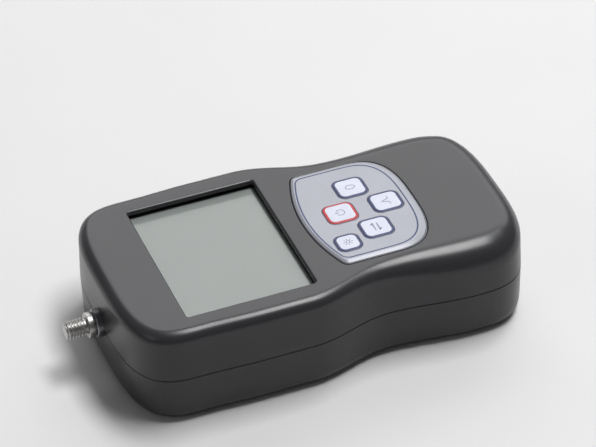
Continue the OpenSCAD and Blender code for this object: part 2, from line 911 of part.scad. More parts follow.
module shaft_bush() {
    color("#a8aaae")
        difference() {
            union() {
                bar(bush_d / 2, neck_x, bush_end_x);
                bar(bush_flange_r, bush_flange_x, bush_end_x);
            }
            bar(shaft_d / 2 + shaft_clearance, neck_x - cut, bush_end_x + cut);
        }
}

module overload_stop() {
    slot = shaft_d / 2 + stop_gap;
    well = stop_disc_r + stop_gap;
    color("#8d9094")
        difference() {
            union() {
                box([stop_x, -stop_w / 2, seat_z], [stop_end_x, stop_w / 2, stop_top]);
                box([stop_x, -stop_foot_w / 2, seat_z], [stop_end_x, stop_foot_w / 2, seat_z + stop_foot_t]);
            }
            box([stop_x + stop_plate, -well, split_z - well], [stop_far_x, well, stop_top + cut]);
            box([stop_x - cut, -slot, split_z - slot], [stop_end_x + cut, slot, stop_top + cut]);
            for (y = [-1, 1])
                translate([stop_screw_x, y * stop_screw_y, 0])
                    rod(small_screw_d / 2 + screw_gap, seat_z - cut, stop_top);
        }
}

// Screw with its head above and its shank running down from z = 0
module cap_screw(d, l, head_r, head_h) {
    mirror([0, 0, 1])
        screw(d, l, head_r, head_h);
}

module stop_screws() {
    color("#9a9ca0")
        for (y = [-1, 1])
            translate([stop_screw_x, y * stop_screw_y, seat_z + stop_foot_t])
                cap_screw(small_screw_d, stop_foot_t + small_screw_in, small_head_r, small_head_h);
}

module load_cell() {
    color("#b4b7bb")
        difference() {
            box([cell_x, -cell_w / 2, cell_low], [cell_end_x, cell_w / 2, cell_high]);
            box([slot_a_x, -cell_w / 2 + slot_reach, cell_low - cut],
                [slot_a_x + cell_slot, cell_w / 2 + cut, cell_high + cut]);
            box([slot_b_x, -cell_w / 2 - cut, cell_low - cut],
                [slot_b_x + cell_slot, cell_w / 2 - slot_reach, cell_high + cut]);
            for (y = [-1, 1])
                translate([middle_x, y * hole_pitch / 2, 0])
                    rod(hole_r, cell_low - cut, cell_high + cut);
            box([middle_x - hole_r / 3, -hole_pitch / 2, cell_low - cut],
                [middle_x + hole_r / 3, hole_pitch / 2, cell_high + cut]);
            bar(shaft_d / 2 + thread_fit, cell_x - cut, slot_a_x + cut);
            bar(cell_screw_d / 2 + thread_fit, cell_end_x - cell_bore_depth, cell_end_x + cut);
        }
}

module strain_gauges() {
    color("#c98b2e")
        for (y = [-1, 1]) {
            box([slot_a_x + cell_slot - gauge_t, y * hole_pitch / 2 - gauge_l / 2, split_z - gauge_h / 2],
                [slot_a_x + cell_slot, y * hole_pitch / 2 + gauge_l / 2, split_z + gauge_h / 2]);
            box([slot_b_x, y * hole_pitch / 2 - gauge_l / 2, split_z - gauge_h / 2],
                [slot_b_x + gauge_t, y * hole_pitch / 2 + gauge_l / 2, split_z + gauge_h / 2]);
        }
}

module cell_bracket() {
    color("#8d9094")
        difference() {
            union() {
                box([cell_end_x, -bracket_w / 2, seat_z], [bracket_end_x, bracket_w / 2, cell_high]);
                box([cell_end_x, -bracket_w / 2, seat_z],
                    [bracket_end_x + bracket_foot_l, bracket_w / 2, seat_z + bracket_foot_t]);
            }
            bar(cell_screw_d / 2 + screw_gap, cell_end_x - cut, bracket_end_x + cut);
            for (p = bracket_places)
                translate(p)
                    rod(small_screw_d / 2 + screw_gap, seat_z - cut, seat_z + bracket_foot_t + cut);
        }
}

module bracket_screws() {
    color("#9a9ca0")
        for (p = bracket_places)
            translate([p[0], p[1], seat_z + bracket_foot_t])
                cap_screw(small_screw_d, bracket_foot_t + small_screw_in, small_head_r, small_head_h);
}

module cell_screw() {
    key_r = cell_screw_d / 2.6;
    color("#3a3a3c")
        difference() {
            union() {
                bar(cell_screw_d / 2, cell_end_x - cell_screw_in, bracket_end_x);
                bar(cell_head_r, bracket_end_x, bracket_end_x + cell_head_h);
            }
            translate([bracket_end_x + cell_head_h / 2, 0, split_z])
                rotate([0, 90, 0])
                    cylinder(r = key_r, h = cell_head_h, $fn = 6);
        }
}

// A smooth curve through four points, at t between the middle two
function spline(a, b, c, d, t) =
    (2 * b + (c - a) * t + (2 * a - 5 * b + 4 * c - d) * t * t + (3 * b - a - 3 * c + d) * t * t * t) / 2;
function smooth_route(p, steps) =
    let (n = len(p))
    concat([for (i = [0 : n - 2], j = [0 : steps - 1])
        spline(p[max(i - 1, 0)], p[i], p[i + 1], p[min(i + 2, n - 1)], j / steps)], [p[n - 1]]);
function heading(path, route, i) =
    let (last = len(path) - 1, end = len(route) - 1)
    i == 0 ? unit(route[1] - route[0])
    : i == last ? unit(route[end] - route[end - 1])
    : unit(path[i + 1] - path[i - 1]);
function square_to(v, t) = unit(v - (v * t) * t);
function sections(path, route, side, i = 0) =
    i == len(path) ? []
    : let (t = heading(path, route, i), u = square_to(side, t))
    concat([[path[i], u, cross(t, u)]], sections(path, route, u, i + 1));

// A round lead along a route
module lead(route, r, steps = 4, sides = 8) {
    first_side = [0.31, 0.2, 0.93];
    skin([for (s = sections(smooth_route(route, steps), route, first_side))
        [for (k = [0 : sides - 1]) let (a = 360 * k / sides) s[0] + r * (cos(a) * s[1] + sin(a) * s[2])]]);
}

module cell_cable() {
    cable_r = 1.3;
    side_y = -cell_w / 2;
    plug_z = board_bottom - header_h / 2;
    route = [
        [cell_end_x - slot_inset / 2, side_y, split_z],
        [cell_end_x - slot_inset / 2, side_y - 1.5 * cable_r, split_z],
        [cell_end_x, side_y - 2.5 * cable_r, split_z - cable_r],
        [bracket_end_x, side_y - 2.5 * cable_r, split_z - cable_r],
        [cell_header[0] - cable_r, cell_header[1], split_z],
        [cell_header[0], cell_header[1], split_z + 2 * cable_r],
        [cell_header[0], cell_header[1], plug_z]
    ];
    color("#3c3f45")
        lead(route, cable_r);
}

module battery_cells() {
    nub_r = 1.8;
    nub_l = 0.8;
    color("#3f7a4b")
        for (p = battery_places) {
            bar(battery_d / 2, battery_x + nub_l, battery_end_x, p[0], p[1]);
            bar(nub_r, battery_x, battery_x + nub_l, p[0], p[1]);
        }
}

module battery_tabs() {
    color("#cfd0d2") {
        for (j = [0 : battery_columns - 1])
            box([battery_end_x, battery_places[j][0] - tab_w / 2, battery_places[j][1] - tab_w / 2],
                [battery_end_x + tab_t, battery_places[j][0] + tab_w / 2,
                 battery_places[j + battery_columns][1] + tab_w / 2]);
        for (k = [0 : battery_rows - 1])
            box([battery_x - tab_t, battery_places[0][0] - tab_w / 2,
                 battery_places[k * battery_columns][1] - tab_w / 2],
                [battery_x, battery_places[1][0] + tab_w / 2,
                 battery_places[k * battery_columns][1] + tab_w / 2]);
    }
}

module battery_sleeve() {
    inner_w = pack_w + 2 * fit;
    inner_h = pack_h + 2 * fit;
    r = battery_d / 2;
    color("#2b4f9a")
        translate([battery_x + sleeve_cover, 0, battery_low + pack_h / 2])
            rotate([90, 0, 90])
                linear_extrude(battery_l - 2 * sleeve_cover)
                    difference() {
                        sleeve_section(inner_w + 2 * sleeve_t, inner_h + 2 * sleeve_t, r + sleeve_t);
                        sleeve_section(inner_w, inner_h, r);
                    }
}

module sleeve_section(l, w, r) {
    square([l - 2 * r, w], center = true);
    square([l, w - 2 * r], center = true);
    for (x = [-1, 1], y = [-1, 1])
        translate([x * (l / 2 - r), y * (w / 2 - r)])
            circle(r);
}

module battery_pads() {
    pad_inset = 6;
    strip_l = 8;
    strip_w = pack_w - battery_d;
    color("#77777a")
        for (x = [battery_x + pad_inset, battery_end_x - pad_inset - strip_l])
            box([x, -strip_w / 2, floor_z], [x + strip_l, strip_w / 2, floor_z + foam_t]);
}

module battery_lead() {
    wire_r = 0.7;
    plug_z = board_bottom - header_h / 2;
    tab_x = battery_x - tab_t;
    color("#b02a2a")
        for (k = [0 : battery_rows - 1]) {
            cell = battery_places[k * battery_columns];
            start = [tab_x, cell[0] + tab_w, cell[1]];
            end_x = battery_header[0] + (1.5 - 3 * k) * wire_r;
            lead([
                start,
                start - [2 * wire_r, 0, 0],
                [(start[0] + end_x) / 2, (start[1] + battery_header[1]) / 2, start[2] + wire_r],
                [end_x, battery_header[1], plug_z - 4 * wire_r],
                [end_x, battery_header[1], plug_z]
            ], wire_r);
        }
}

module charge_socket() {
    y = -socket_pitch / 2;
    color("#1b1b1d") {
        difference() {
            union() {
                box([socket_body_x - socket_body_l, y - charge_body_w / 2, socket_board_top],
                    [socket_body_x, y + charge_body_w / 2, socket_axis_z + charge_body_w / 2]);
                bar(charge_neck_r, socket_body_x - cut, socket_face_x, y, socket_axis_z);
            }
            bar(charge_bore_d / 2, socket_face_x - charge_depth, socket_face_x + cut, y, socket_axis_z);
        }
        bar(charge_pin_d / 2, socket_face_x - charge_depth - cut, socket_face_x - charge_pin_short,
            y, socket_axis_z);
    }
}

module data_socket() {
    y = socket_pitch / 2;
    color("#1b1b1d")
        difference() {
            union() {
                box([socket_body_x - socket_body_l, y - data_body_w / 2, socket_board_top],
                    [socket_body_x, y + data_body_w / 2, socket_axis_z + data_body_w / 2]);
                bar(data_neck_r, socket_body_x - cut, socket_face_x, y, socket_axis_z);
            }
            bar(data_bore_d / 2, socket_face_x - data_depth, socket_face_x + cut, y, socket_axis_z);
        }
}

module socket_board() {
    color("#1e5a38")
        difference() {
            box([socket_board_x - socket_board_l, -socket_board_w / 2, socket_board_z],
                [socket_board_x, socket_board_w / 2, socket_board_top]);
            for (p = socket_places)
                translate(p)
                    rod(socket_screw_d / 2 + fit, socket_board_z - cut, socket_board_top + cut);
        }
}

module socket_screws() {
    color("#9a9ca0")
        for (p = socket_places)
            translate([p[0], p[1], socket_board_top])
                cap_screw(socket_screw_d, board_t + socket_screw_in, socket_head_r, socket_head_h);
}

module socket_lead() {
    lead_r = 0.9;
    lane_y = pack_w / 2 + 4 * lead_r;
    plug_z = board_bottom - header_h / 2;
    start = [socket_board_x - socket_board_l + 2 * lead_r, socket_board_w / 2 - lead_r, socket_board_top];
    route = [
        start,
        start + [0, 0, 4 * lead_r],
        [battery_end_x - 4 * lead_r, lane_y, socket_board_top + 6 * lead_r],
        [(battery_x + battery_end_x) / 2, lane_y, socket_board_top + 6 * lead_r],
        [battery_x, lane_y, socket_axis_z + 4 * lead_r],
        [socket_header[0], socket_header[1], plug_z - 3 * lead_r],
        [socket_header[0], socket_header[1], plug_z]
    ];
    color("#3c3f45")
        lead(route, lead_r);
}

front_shell();
rear_shell();
housing_screws();
stand_inserts();
display_window();
window_tape();
lcd_glass();
lcd_bezel();
backlight_panel();
zebra_strips();
main_board();
board_screws();
board_chips();
board_connectors();
keypad_panel();
key_power();
key_zero();
key_peak();
key_unit();
key_light();
plunger_power();
plunger_zero();
plunger_peak();
plunger_unit();
plunger_light();
key_switches();
measuring_shaft();
shaft_nut();
shaft_bush();
overload_stop();
stop_screws();
load_cell();
strain_gauges();
cell_bracket();
bracket_screws();
cell_screw();
cell_cable();
battery_cells();
battery_tabs();
battery_sleeve();
battery_pads();
battery_lead();
charge_socket();
data_socket();
socket_board();
socket_screws();
socket_lead();
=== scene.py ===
import json
import math

import bmesh
import bpy
from mathutils import Matrix, Vector, geometry


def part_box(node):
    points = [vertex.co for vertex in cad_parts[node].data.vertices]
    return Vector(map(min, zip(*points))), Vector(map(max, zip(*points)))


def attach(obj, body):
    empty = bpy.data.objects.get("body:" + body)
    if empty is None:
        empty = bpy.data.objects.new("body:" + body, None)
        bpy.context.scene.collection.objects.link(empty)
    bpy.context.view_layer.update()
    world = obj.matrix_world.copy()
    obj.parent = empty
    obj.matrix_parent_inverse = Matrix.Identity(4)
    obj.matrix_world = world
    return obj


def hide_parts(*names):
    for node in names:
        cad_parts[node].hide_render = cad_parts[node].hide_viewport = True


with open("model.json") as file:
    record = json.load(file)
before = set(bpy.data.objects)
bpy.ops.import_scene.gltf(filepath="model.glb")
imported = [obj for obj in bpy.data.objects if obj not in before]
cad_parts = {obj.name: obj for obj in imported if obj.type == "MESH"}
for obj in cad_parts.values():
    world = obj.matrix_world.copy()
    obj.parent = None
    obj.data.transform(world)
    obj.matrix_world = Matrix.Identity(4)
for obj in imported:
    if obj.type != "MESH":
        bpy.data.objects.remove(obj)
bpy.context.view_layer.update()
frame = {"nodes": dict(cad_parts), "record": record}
print("frame loaded")

mm = 0.001


# Materials


def fromScreen(*levels):  # screen levels, 0 to 255, to the renderer's own by the sRGB curve
    shares = [v / 255 for v in levels]
    return tuple(s / 12.92 if s < 0.04045 else ((s + 0.055) / 1.055) ** 2.4 for s in shares)


class Wire:  # an output socket that can stand in a sum
    def __init__(self, finish, socket):
        self.finish = finish
        self.socket = socket

    def maths(self, operation, first, second):
        return self.finish.add("ShaderNodeMath", {"operation": operation}, {0: first, 1: second})

    def __add__(self, other):
        return self.maths("ADD", self, other)

    def __radd__(self, other):
        return self.maths("ADD", other, self)

    def __sub__(self, other):
        return self.maths("SUBTRACT", self, other)

    def __rsub__(self, other):
        return self.maths("SUBTRACT", other, self)

    def __mul__(self, other):
        return self.maths("MULTIPLY", self, other)

    def __rmul__(self, other):
        return self.maths("MULTIPLY", other, self)


class Finish:  # a material round one Principled shader
    def __init__(self, name, sockets):
        self.material = bpy.data.materials.new(name)
        self.material.use_nodes = True
        self.tree = self.material.node_tree
        self.shader = self.tree.nodes["Principled BSDF"]
        for key, value in sockets.items():
            self.feed(self.shader, key, value)

    def feed(self, node, key, value):
        socket = node.inputs[key]
        if isinstance(value, Wire):
            self.tree.links.new(value.socket, socket)
        elif socket.type == "RGBA":
            socket.default_value = (*value, 1)
        else:
            socket.default_value = value

    def add(self, kind, settings=None, inputs=None, output=0):
        node = self.tree.nodes.new(kind)
        for key, value in (settings or {}).items():
            setattr(node, key, value)
        for key, value in (inputs or {}).items():
            self.feed(node, key, value)
        return Wire(self, node.outputs[output])

    def set(self, **wires):
        names = {"color": "Base Color", "roughness": "Roughness", "normal": "Normal", "alpha": "Alpha"}
        for key, value in wires.items():
            self.feed(self.shader, names[key], value)

    def spot(self, stretch=(1, 1, 1)):
        place = self.add("ShaderNodeTexCoord", output="Object")
        return self.add("ShaderNodeVectorMath", {"operation": "MULTIPLY"}, {0: place, 1: stretch})

    def noise(self, size, detail=2, stretch=(1, 1, 1)):  # size of one grain in millimetres
        return self.add("ShaderNodeTexNoise", None, {
            "Vector": self.spot(stretch), "Scale": 1 / (size * mm), "Detail": detail}, "Fac")

    def cells(self, size):
        return self.add("ShaderNodeTexVoronoi", None, {
            "Vector": self.spot(), "Scale": 1 / (size * mm)}, "Distance")

    def grade(self, value, low, high, start=0.3, end=0.7):  # start to end becomes low to high
        return self.add("ShaderNodeMapRange", None, {
            "Value": value, "From Min": start, "From Max": end, "To Min": low, "To Max": high}, "Result")

    def mix(self, share, first, second):
        return self.add("ShaderNodeMix", {"data_type": "RGBA"}, {0: share, 6: first, 7: second}, 2)

    def relief(self, height, depth, strength=1):  # depth in millimetres
        return self.add("ShaderNodeBump", None, {
            "Height": height, "Distance": depth * mm, "Strength": strength})

    def corner(self, start, end):  # 1 on outer edges
        point = self.add("ShaderNodeNewGeometry", output="Pointiness")
        return self.grade(point, 0, 1, start, end)


paint = {
    "dark": fromScreen(52, 52, 55), "light": fromScreen(56, 56, 60), "cloud": 30,
    "flake": fromScreen(60, 60, 64), "flakeSize": 0.5, "flakeFrom": (0.1, 0.6), "flakeShare": 0.3,
    # edge: the colour of a painted highlight on outer edges
    "edge": fromScreen(80, 80, 83), "highlightFrom": (0.56, 0.7), "highlightShare": 0.25,
    "rough": (0.283, 0.31), "roughSize": 9, "peelSize": 0.8, "peelDepth": 0.006, "peelStrength": 0.3,
}


def shellPaint():  # satin graphite paint with a metallic flake, and a painted highlight that makes outer edges a little paler
    f = Finish("shellPaint", {"IOR": 1.5})
    base = f.mix(f.grade(f.noise(paint["cloud"], 3), 0, 1), paint["dark"], paint["light"])
    flake = f.grade(f.cells(paint["flakeSize"]), 0, paint["flakeShare"], *paint["flakeFrom"])
    base = f.mix(flake, base, paint["flake"])
    # painted highlight: outer edges, found by pointiness, take the paler edge colour
    f.set(color=f.mix(f.corner(*paint["highlightFrom"]) * paint["highlightShare"], base, paint["edge"]),
          roughness=f.grade(f.noise(paint["roughSize"], 4), *paint["rough"]),
          normal=f.relief(f.noise(paint["peelSize"], 2), paint["peelDepth"], paint["peelStrength"]))
    return f.material


metalLook = {"cloud": 8, "streakShare": 0.6, "darkest": 0.8,
             "smoother": 0.06, "rougher": 0.08, "strength": 0.6}


def metal(name, tone, rough, size=0.12, stretch=(1, 1, 1), depth=0.004):
    f = Finish(name, {"Metallic": 1, "IOR": 1.5})
    look = metalLook
    streak = f.noise(size, 4, stretch)
    cloud = f.noise(look["cloud"], 3)
    dark = tuple(v * look["darkest"] for v in tone)
    both = streak * look["streakShare"] + cloud * (1 - look["streakShare"])
    f.set(color=f.mix(f.grade(both, 0, 1), dark, tone),
          roughness=f.grade(streak, rough - look["smoother"], rough + look["rougher"]),
          normal=f.relief(streak, depth, look["strength"]))
    return f.material


plasticLook = {"cloud": 6, "cloudShare": 0.7, "smoother": 0.05, "rougher": 0.07, "strength": 0.5}


def plastic(name, tone, rough, size=0.3, depth=0.01, darkest=0.85):
    f = Finish(name, {"Metallic": 0, "IOR": 1.48})
    look = plasticLook
    grain = f.noise(size, 4)
    dark = tuple(v * darkest for v in tone)
    both = f.noise(look["cloud"], 3) * look["cloudShare"] + grain * (1 - look["cloudShare"])
    f.set(color=f.mix(f.grade(both, 0, 1), dark, tone),
          roughness=f.grade(grain, rough - look["smoother"], rough + look["rougher"]),
          normal=f.relief(grain, depth, look["strength"]))
    return f.material


glass = {"tint": (0.92, 0.94, 0.95), "power": 10, "most": 0.3, "rough": (0.03, 0.07), "roughSize": 14}


def windowGlass():  # a thin clear pane with a sheen at low angles only
    f = Finish("windowGlass", {"Metallic": 1, "Base Color": glass["tint"]})
    slant = f.add("ShaderNodeLayerWeight", None, {"Blend": 0.5}, "Facing")  # the same from both faces
    sheen = f.add("ShaderNodeMath", {"operation": "POWER"}, {0: slant, 1: glass["power"]})
    f.set(alpha=sheen * glass["most"],
          roughness=f.grade(f.noise(glass["roughSize"], 3), *glass["rough"]))
    return f.material


lcd = {
    "dark": fromScreen(145, 151, 148), "light": fromScreen(149, 155, 152), "cloud": 40,
    "grain": fromScreen(143, 149, 146), "grainSize": 0.4, "grainShare": 0.2,
    "specular": 0.15, "gloss": 0.8, "glossRough": 0.08, "rough": (0.42, 0.5), "roughSize": 3,
    "waveSize": 5, "waveDepth": 0.003, "waveStrength": 0.2,
}


def lcdFace():  # blank reflective display under a clear gloss
    f = Finish("lcdFace", {"IOR": 1.5, "Specular IOR Level": lcd["specular"],
                           "Coat Weight": lcd["gloss"], "Coat Roughness": lcd["glossRough"]})
    tone = f.mix(f.grade(f.noise(lcd["cloud"], 2), 0, 1), lcd["dark"], lcd["light"])
    f.set(color=f.mix(f.grade(f.noise(lcd["grainSize"], 2), 0, lcd["grainShare"]), tone, lcd["grain"]),
          roughness=f.grade(f.noise(lcd["roughSize"], 3), *lcd["rough"]),
          normal=f.relief(f.noise(lcd["waveSize"], 2), lcd["waveDepth"], lcd["waveStrength"]))
    return f.material


foil = {
    "dark": fromScreen(164, 166, 175), "light": fromScreen(172, 174, 184), "cloud": 16, "metallic": 0.12,
    "glint": fromScreen(188, 190, 200), "glintShare": 0.35, "grainSize": 0.14,
    "rough": (0.34, 0.44), "depth": 0.003, "strength": 0.5,
}


def keypadSilver():  # satin printed foil, its fine grain flecked with painted glints
    f = Finish("keypadSilver", {"Metallic": foil["metallic"], "IOR": 1.48})
    fine = f.noise(foil["grainSize"], 3)
    tone = f.mix(f.grade(f.noise(foil["cloud"], 2), 0, 1), foil["dark"], foil["light"])
    f.set(color=f.mix(f.grade(fine, 0, foil["glintShare"]), tone, foil["glint"]),
          roughness=f.grade(fine, *foil["rough"]),
          normal=f.relief(fine, foil["depth"], foil["strength"]))
    return f.material


rubber = {
    "dark": fromScreen(218, 222, 238), "light": fromScreen(226, 229, 243), "cloud": 3,
    "rough": (0.4, 0.5), "roughSize": 0.12, "grainSize": 0.1, "depth": 0.004, "strength": 0.5,
}


def keyWhite():  # rubbery matt cap
    f = Finish("keyWhite", {"IOR": 1.45})
    f.set(color=f.mix(f.grade(f.noise(rubber["cloud"], 3), 0, 1), rubber["dark"], rubber["light"]),
          roughness=f.grade(f.noise(rubber["roughSize"], 3), *rubber["rough"]),
          normal=f.relief(f.noise(rubber["grainSize"], 3), rubber["depth"], rubber["strength"]))
    return f.material


board = {
    "dark": fromScreen(22, 88, 52), "light": fromScreen(30, 102, 60), "cloud": 9,
    "trace": fromScreen(46, 128, 78), "traceShare": 0.55, "traceFrom": (0.2, 0.6), "traceWidth": 0.06,
    "scale": 260, "wobble": 0.4, "rough": (0.32, 0.42), "depth": 0.01, "strength": 0.4,
}


def boardGreen():  # solder mask over a glass weave and copper traces
    f = Finish("boardGreen", {"IOR": 1.5})
    scale = board["scale"]
    weave = f.add("ShaderNodeTexWave", {"wave_type": "BANDS"}, {
        "Vector": f.spot(), "Scale": scale, "Distortion": board["wobble"]}, "Fac")
    bricks = f.add("ShaderNodeTexBrick", None, {
        "Vector": f.spot((scale, scale, scale)), "Scale": 1, "Mortar Size": board["traceWidth"]}, "Fac")
    trace = f.grade(bricks, 0, 1, *board["traceFrom"])
    tone = f.mix(f.grade(f.noise(board["cloud"], 3), 0, 1), board["dark"], board["light"])
    f.set(color=f.mix(trace * board["traceShare"], tone, board["trace"]),
          roughness=f.grade(weave, *board["rough"]),
          normal=f.relief(weave + trace, board["depth"], board["strength"]))
    return f.material


turnedGrain, rolledGrain = (6, 0.6, 0.6), (0.4, 3, 3)  # noise stretched into the marks of a lathe or a mill
# metal takes tone, roughness, grain size, stretch and depth; plastic the same without the stretch
finishes = {
    "shell_paint": shellPaint(),
    "black_steel": metal("blackSteel", fromScreen(66, 66, 70), 0.34),
    "insert_brass": metal("insertBrass", fromScreen(214, 178, 104), 0.26),
    "window_clear": windowGlass(),
    "black_plastic": plastic("blackPlastic", fromScreen(30, 30, 32), 0.48),
    "lcd_surface": lcdFace(),
    "white_plastic": plastic("whitePlastic", fromScreen(228, 228, 220), 0.35, darkest=0.94),
    "black_rubber": plastic("blackRubber", fromScreen(26, 26, 27), 0.72, 0.2, 0.02),
    "board_green": boardGreen(),
    "zinc_steel": metal("zincSteel", fromScreen(196, 198, 202), 0.3),
    "keypad_silver": keypadSilver(),
    "key_white": keyWhite(),
    "shaft_steel": metal("shaftSteel", fromScreen(196, 195, 193), 0.36, 0.2, turnedGrain, 0.003),
    "bush_steel": metal("bushSteel", fromScreen(150, 150, 154), 0.34, 0.2, turnedGrain),
    "bracket_aluminium": metal("bracketAluminium", fromScreen(190, 192, 196), 0.38, 0.25, rolledGrain),
    "cell_aluminium": metal("cellAluminium", fromScreen(206, 208, 212), 0.3, 0.25, rolledGrain),
    "gauge_foil": plastic("gaugeFoil", fromScreen(198, 140, 62), 0.3),
    "cable_grey": plastic("cableGrey", fromScreen(70, 73, 79), 0.42),
    "battery_green": plastic("batteryGreen", fromScreen(66, 132, 82), 0.3),
    "sleeve_blue": plastic("sleeveBlue", fromScreen(44, 82, 162), 0.28, 2, 0.03),
    "foam_grey": plastic("foamGrey", fromScreen(118, 118, 121), 0.8, 0.4, 0.08),
    "wire_red": plastic("wireRed", fromScreen(180, 44, 40), 0.38),
}
finishes["key_white_red"] = finishes["key_white"]
inkBlue = plastic("inkBlue", fromScreen(64, 74, 116), 0.42)
inkRed = plastic("inkRed", fromScreen(205, 60, 66), 0.42)
inkPale = plastic("inkPale", fromScreen(146, 152, 178), 0.45)
print("materials made")


# Meshes: sizes are in millimetres, in the frame's own axes; only the lamps and the camera are in metres

samePoint = 1e-5  # points nearer than this are one
leastRadius = 0.02
hair = 0.001  # keeps two rings apart where a radius jumps
beyond = 1  # how far a cutter goes past the surface


class Extent:  # a CAD piece's box in millimetres, less a margin on its four sides
    def __init__(self, node, margin=0):
        low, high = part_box(node)
        inset = (margin, margin, 0)
        self.low = [round(c / mm + m, 3) for c, m in zip(low, inset)]
        self.high = [round(c / mm - m, 3) for c, m in zip(high, inset)]
        self.middle = [round((a + b) / 2, 3) for a, b in zip(self.low, self.high)]
        self.size = [round(b - a, 3) for a, b in zip(self.low, self.high)]


class Skin:  # points and faces of one piece
    def __init__(self):
        self.points = []
        self.faces = []
        self.parts = []

    def ring(self, points):
        start = len(self.points)
        self.points.extend(points)
        return list(range(start, len(self.points)))

    def face(self, corners, part=0):
        self.faces.append(corners)
        self.parts.append(part)

    def band(self, low, high, part=0):
        for i in range(len(low)):
            j = (i + 1) % len(low)
            self.face((low[i], low[j], high[j], high[i]), part)

    def chain(self, rings, part=0, closed=False):
        for low, high in zip(rings, rings[1:]):
            self.band(low, high, part)
        if closed:
            self.band(rings[-1], rings[0], part)

    def solid(self, rings):  # a chain with both its ends closed
        self.chain(rings)
        self.face(tuple(rings[0]))
        self.face(tuple(rings[-1]))

    def cap(self, outer, holes=(), part=0):  # a level face with holes
        loops = [outer, *holes]
        order = [i for loop in loops for i in loop]
        flat = [Vector(self.points[i][:2]) for i in order]
        edges = []
        start = 0
        for loop in loops:
            n = len(loop)
            edges += [(start + i, start + (i + 1) % n) for i in range(n)]
            start += n
        found, _, triangles, origins, _, _ = geometry.delaunay_2d_cdt(flat, edges, [], 0, samePoint)
        shapes = [[flat[order.index(i)] for i in loop] for loop in loops]
        back = [order[origin[0]] for origin in origins]
        for corners in triangles:
            middle = sum((found[i] for i in corners), Vector((0, 0))) / len(corners)
            if within(middle, shapes[0]) and not any(within(middle, hole) for hole in shapes[1:]):
                self.face(tuple(back[i] for i in corners), part)

    def mesh(self, name):
        made = bpy.data.meshes.new(name)
        made.from_pydata([Vector(p) * mm for p in self.points], [], self.faces)
        for face, part in zip(made.polygons, self.parts):
            face.material_index = part
        work = bmesh.new()
        work.from_mesh(made)
        bmesh.ops.recalc_face_normals(work, faces=work.faces)
        work.to_mesh(made)
        work.free()
        return made


def within(point, loop):  # whether a line from the point crosses the loop an odd number of times
    inside = False
    j = len(loop) - 1
    for i, a in enumerate(loop):
        b = loop[j]
        if (a[1] > point[1]) != (b[1] > point[1]):
            if point[0] < (b[0] - a[0]) * (point[1] - a[1]) / (b[1] - a[1]) + a[0]:
                inside = not inside
        j = i
    return inside


def inScene(name, data):
    made = bpy.data.objects.new(name, data)
    bpy.context.scene.collection.objects.link(made)
    return made


def evenShading(item):
    even = item.modifiers.new("even", "WEIGHTED_NORMAL")
    even.keep_sharp = True


def piece(name, mesh, materials, body, slot, *nodes, sharp=32):  # nodes: the CAD pieces that it replaces
    made = inScene(name, mesh)
    for material in materials:
        mesh.materials.append(material)
    mesh.shade_smooth()
    mesh.set_sharp_from_angle(angle=math.radians(sharp))
    evenShading(made)
    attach(made, body)
    if nodes:
        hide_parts(*nodes)


def carve(mesh, cutters, operation="DIFFERENCE"):  # an exact boolean with a second mesh
    shape, tool = inScene("shape", mesh), inScene("tool", cutters)
    cut = shape.modifiers.new("cut", "BOOLEAN")
    cut.object = tool
    cut.operation = operation
    cut.solver = "EXACT"
    done = bpy.data.meshes.new_from_object(shape.evaluated_get(bpy.context.evaluated_depsgraph_get()))
    done.name = mesh.name
    bpy.data.objects.remove(shape)
    bpy.data.objects.remove(tool)
    return done


def level(loop, z):
    return [(x, y, z) for x, y in loop]


def rounded(long, wide, r, grow=0, x=0, y=0, steps=10):  # rounded rectangle, anticlockwise
    a, b, r = long / 2 + grow, wide / 2 + grow, max(r + grow, leastRadius)
    points = []
    for cx, cy, turn in ((a - r, b - r, 0), (r - a, b - r, 90), (r - a, r - b, 180), (a - r, r - b, 270)):
        for i in range(steps + 1):
            t = math.radians(turn + 90 * i / steps)
            points.append((x + cx + r * math.cos(t), y + cy + r * math.sin(t)))
    return points


def circle(x, y, radius, steps):
    return [(x + radius * math.cos(math.tau * i / steps), y + radius * math.sin(math.tau * i / steps))
            for i in range(steps)]


def turned(skin, profile, centre, axis="x", steps=64, closed=False):
    # profile: (place along the axis, radius); closed makes a tube
    rings = []
    for place, radius in profile:
        loop = circle(*centre, radius, steps)
        rings.append(skin.ring([(place, u, v) if axis == "x" else (u, v, place) for u, v in loop]))
    if closed:
        skin.chain(rings, closed=True)
    else:
        skin.solid(rings)


def quarter(steps):  # angles from 0 to a quarter turn
    return [math.radians(90 * k / steps) for k in range(steps + 1)]


# Housing

front = Extent("front_shell")
gripEnd, split, top = front.high[0], front.low[2], front.high[2]
shaftEnd = -gripEnd
shell = {  # corner to grip and edgeGrows are shares of the length, from the shaft's end
    "displayWidth": front.size[1], "shaftEndWidth": 72.6, "waistWidth": 62.4, "gripWidth": 68,
    "wall": 2.5, "draft": 1.5, "seam": 0.22,
    "displayEdge": 4, "gripEdge": 9, "gripEndEdge": 6.5, "backEdge": 5,
    "corner": 0.1636, "wideFrom": 0.312, "wideTo": 0.424, "waist": 0.6245, "grip": 0.84, "edgeGrows": 0.5,
    "shaftPower": 3.4, "gripPower": 3, "points": 520, "arcSteps": 300, "sideSteps": 500,
}
ceiling = top - shell["wall"]
shaftLine = (0, split)  # y and z of the shaft's axis
cornerX, wideFromX, wideToX, waistX, gripX, edgeGrowsX = (
    shaftEnd + shell[share] * (gripEnd - shaftEnd)
    for share in ("corner", "wideFrom", "wideTo", "waist", "grip", "edgeGrows"))


def blend(a, b, t):  # from a to b along half a cosine wave
    return a + (b - a) * (1 - math.cos(math.pi * min(1, max(0, t)))) / 2


def progress(x, start, end):  # how far x is from start to end, as a share
    return (x - start) / (end - start)


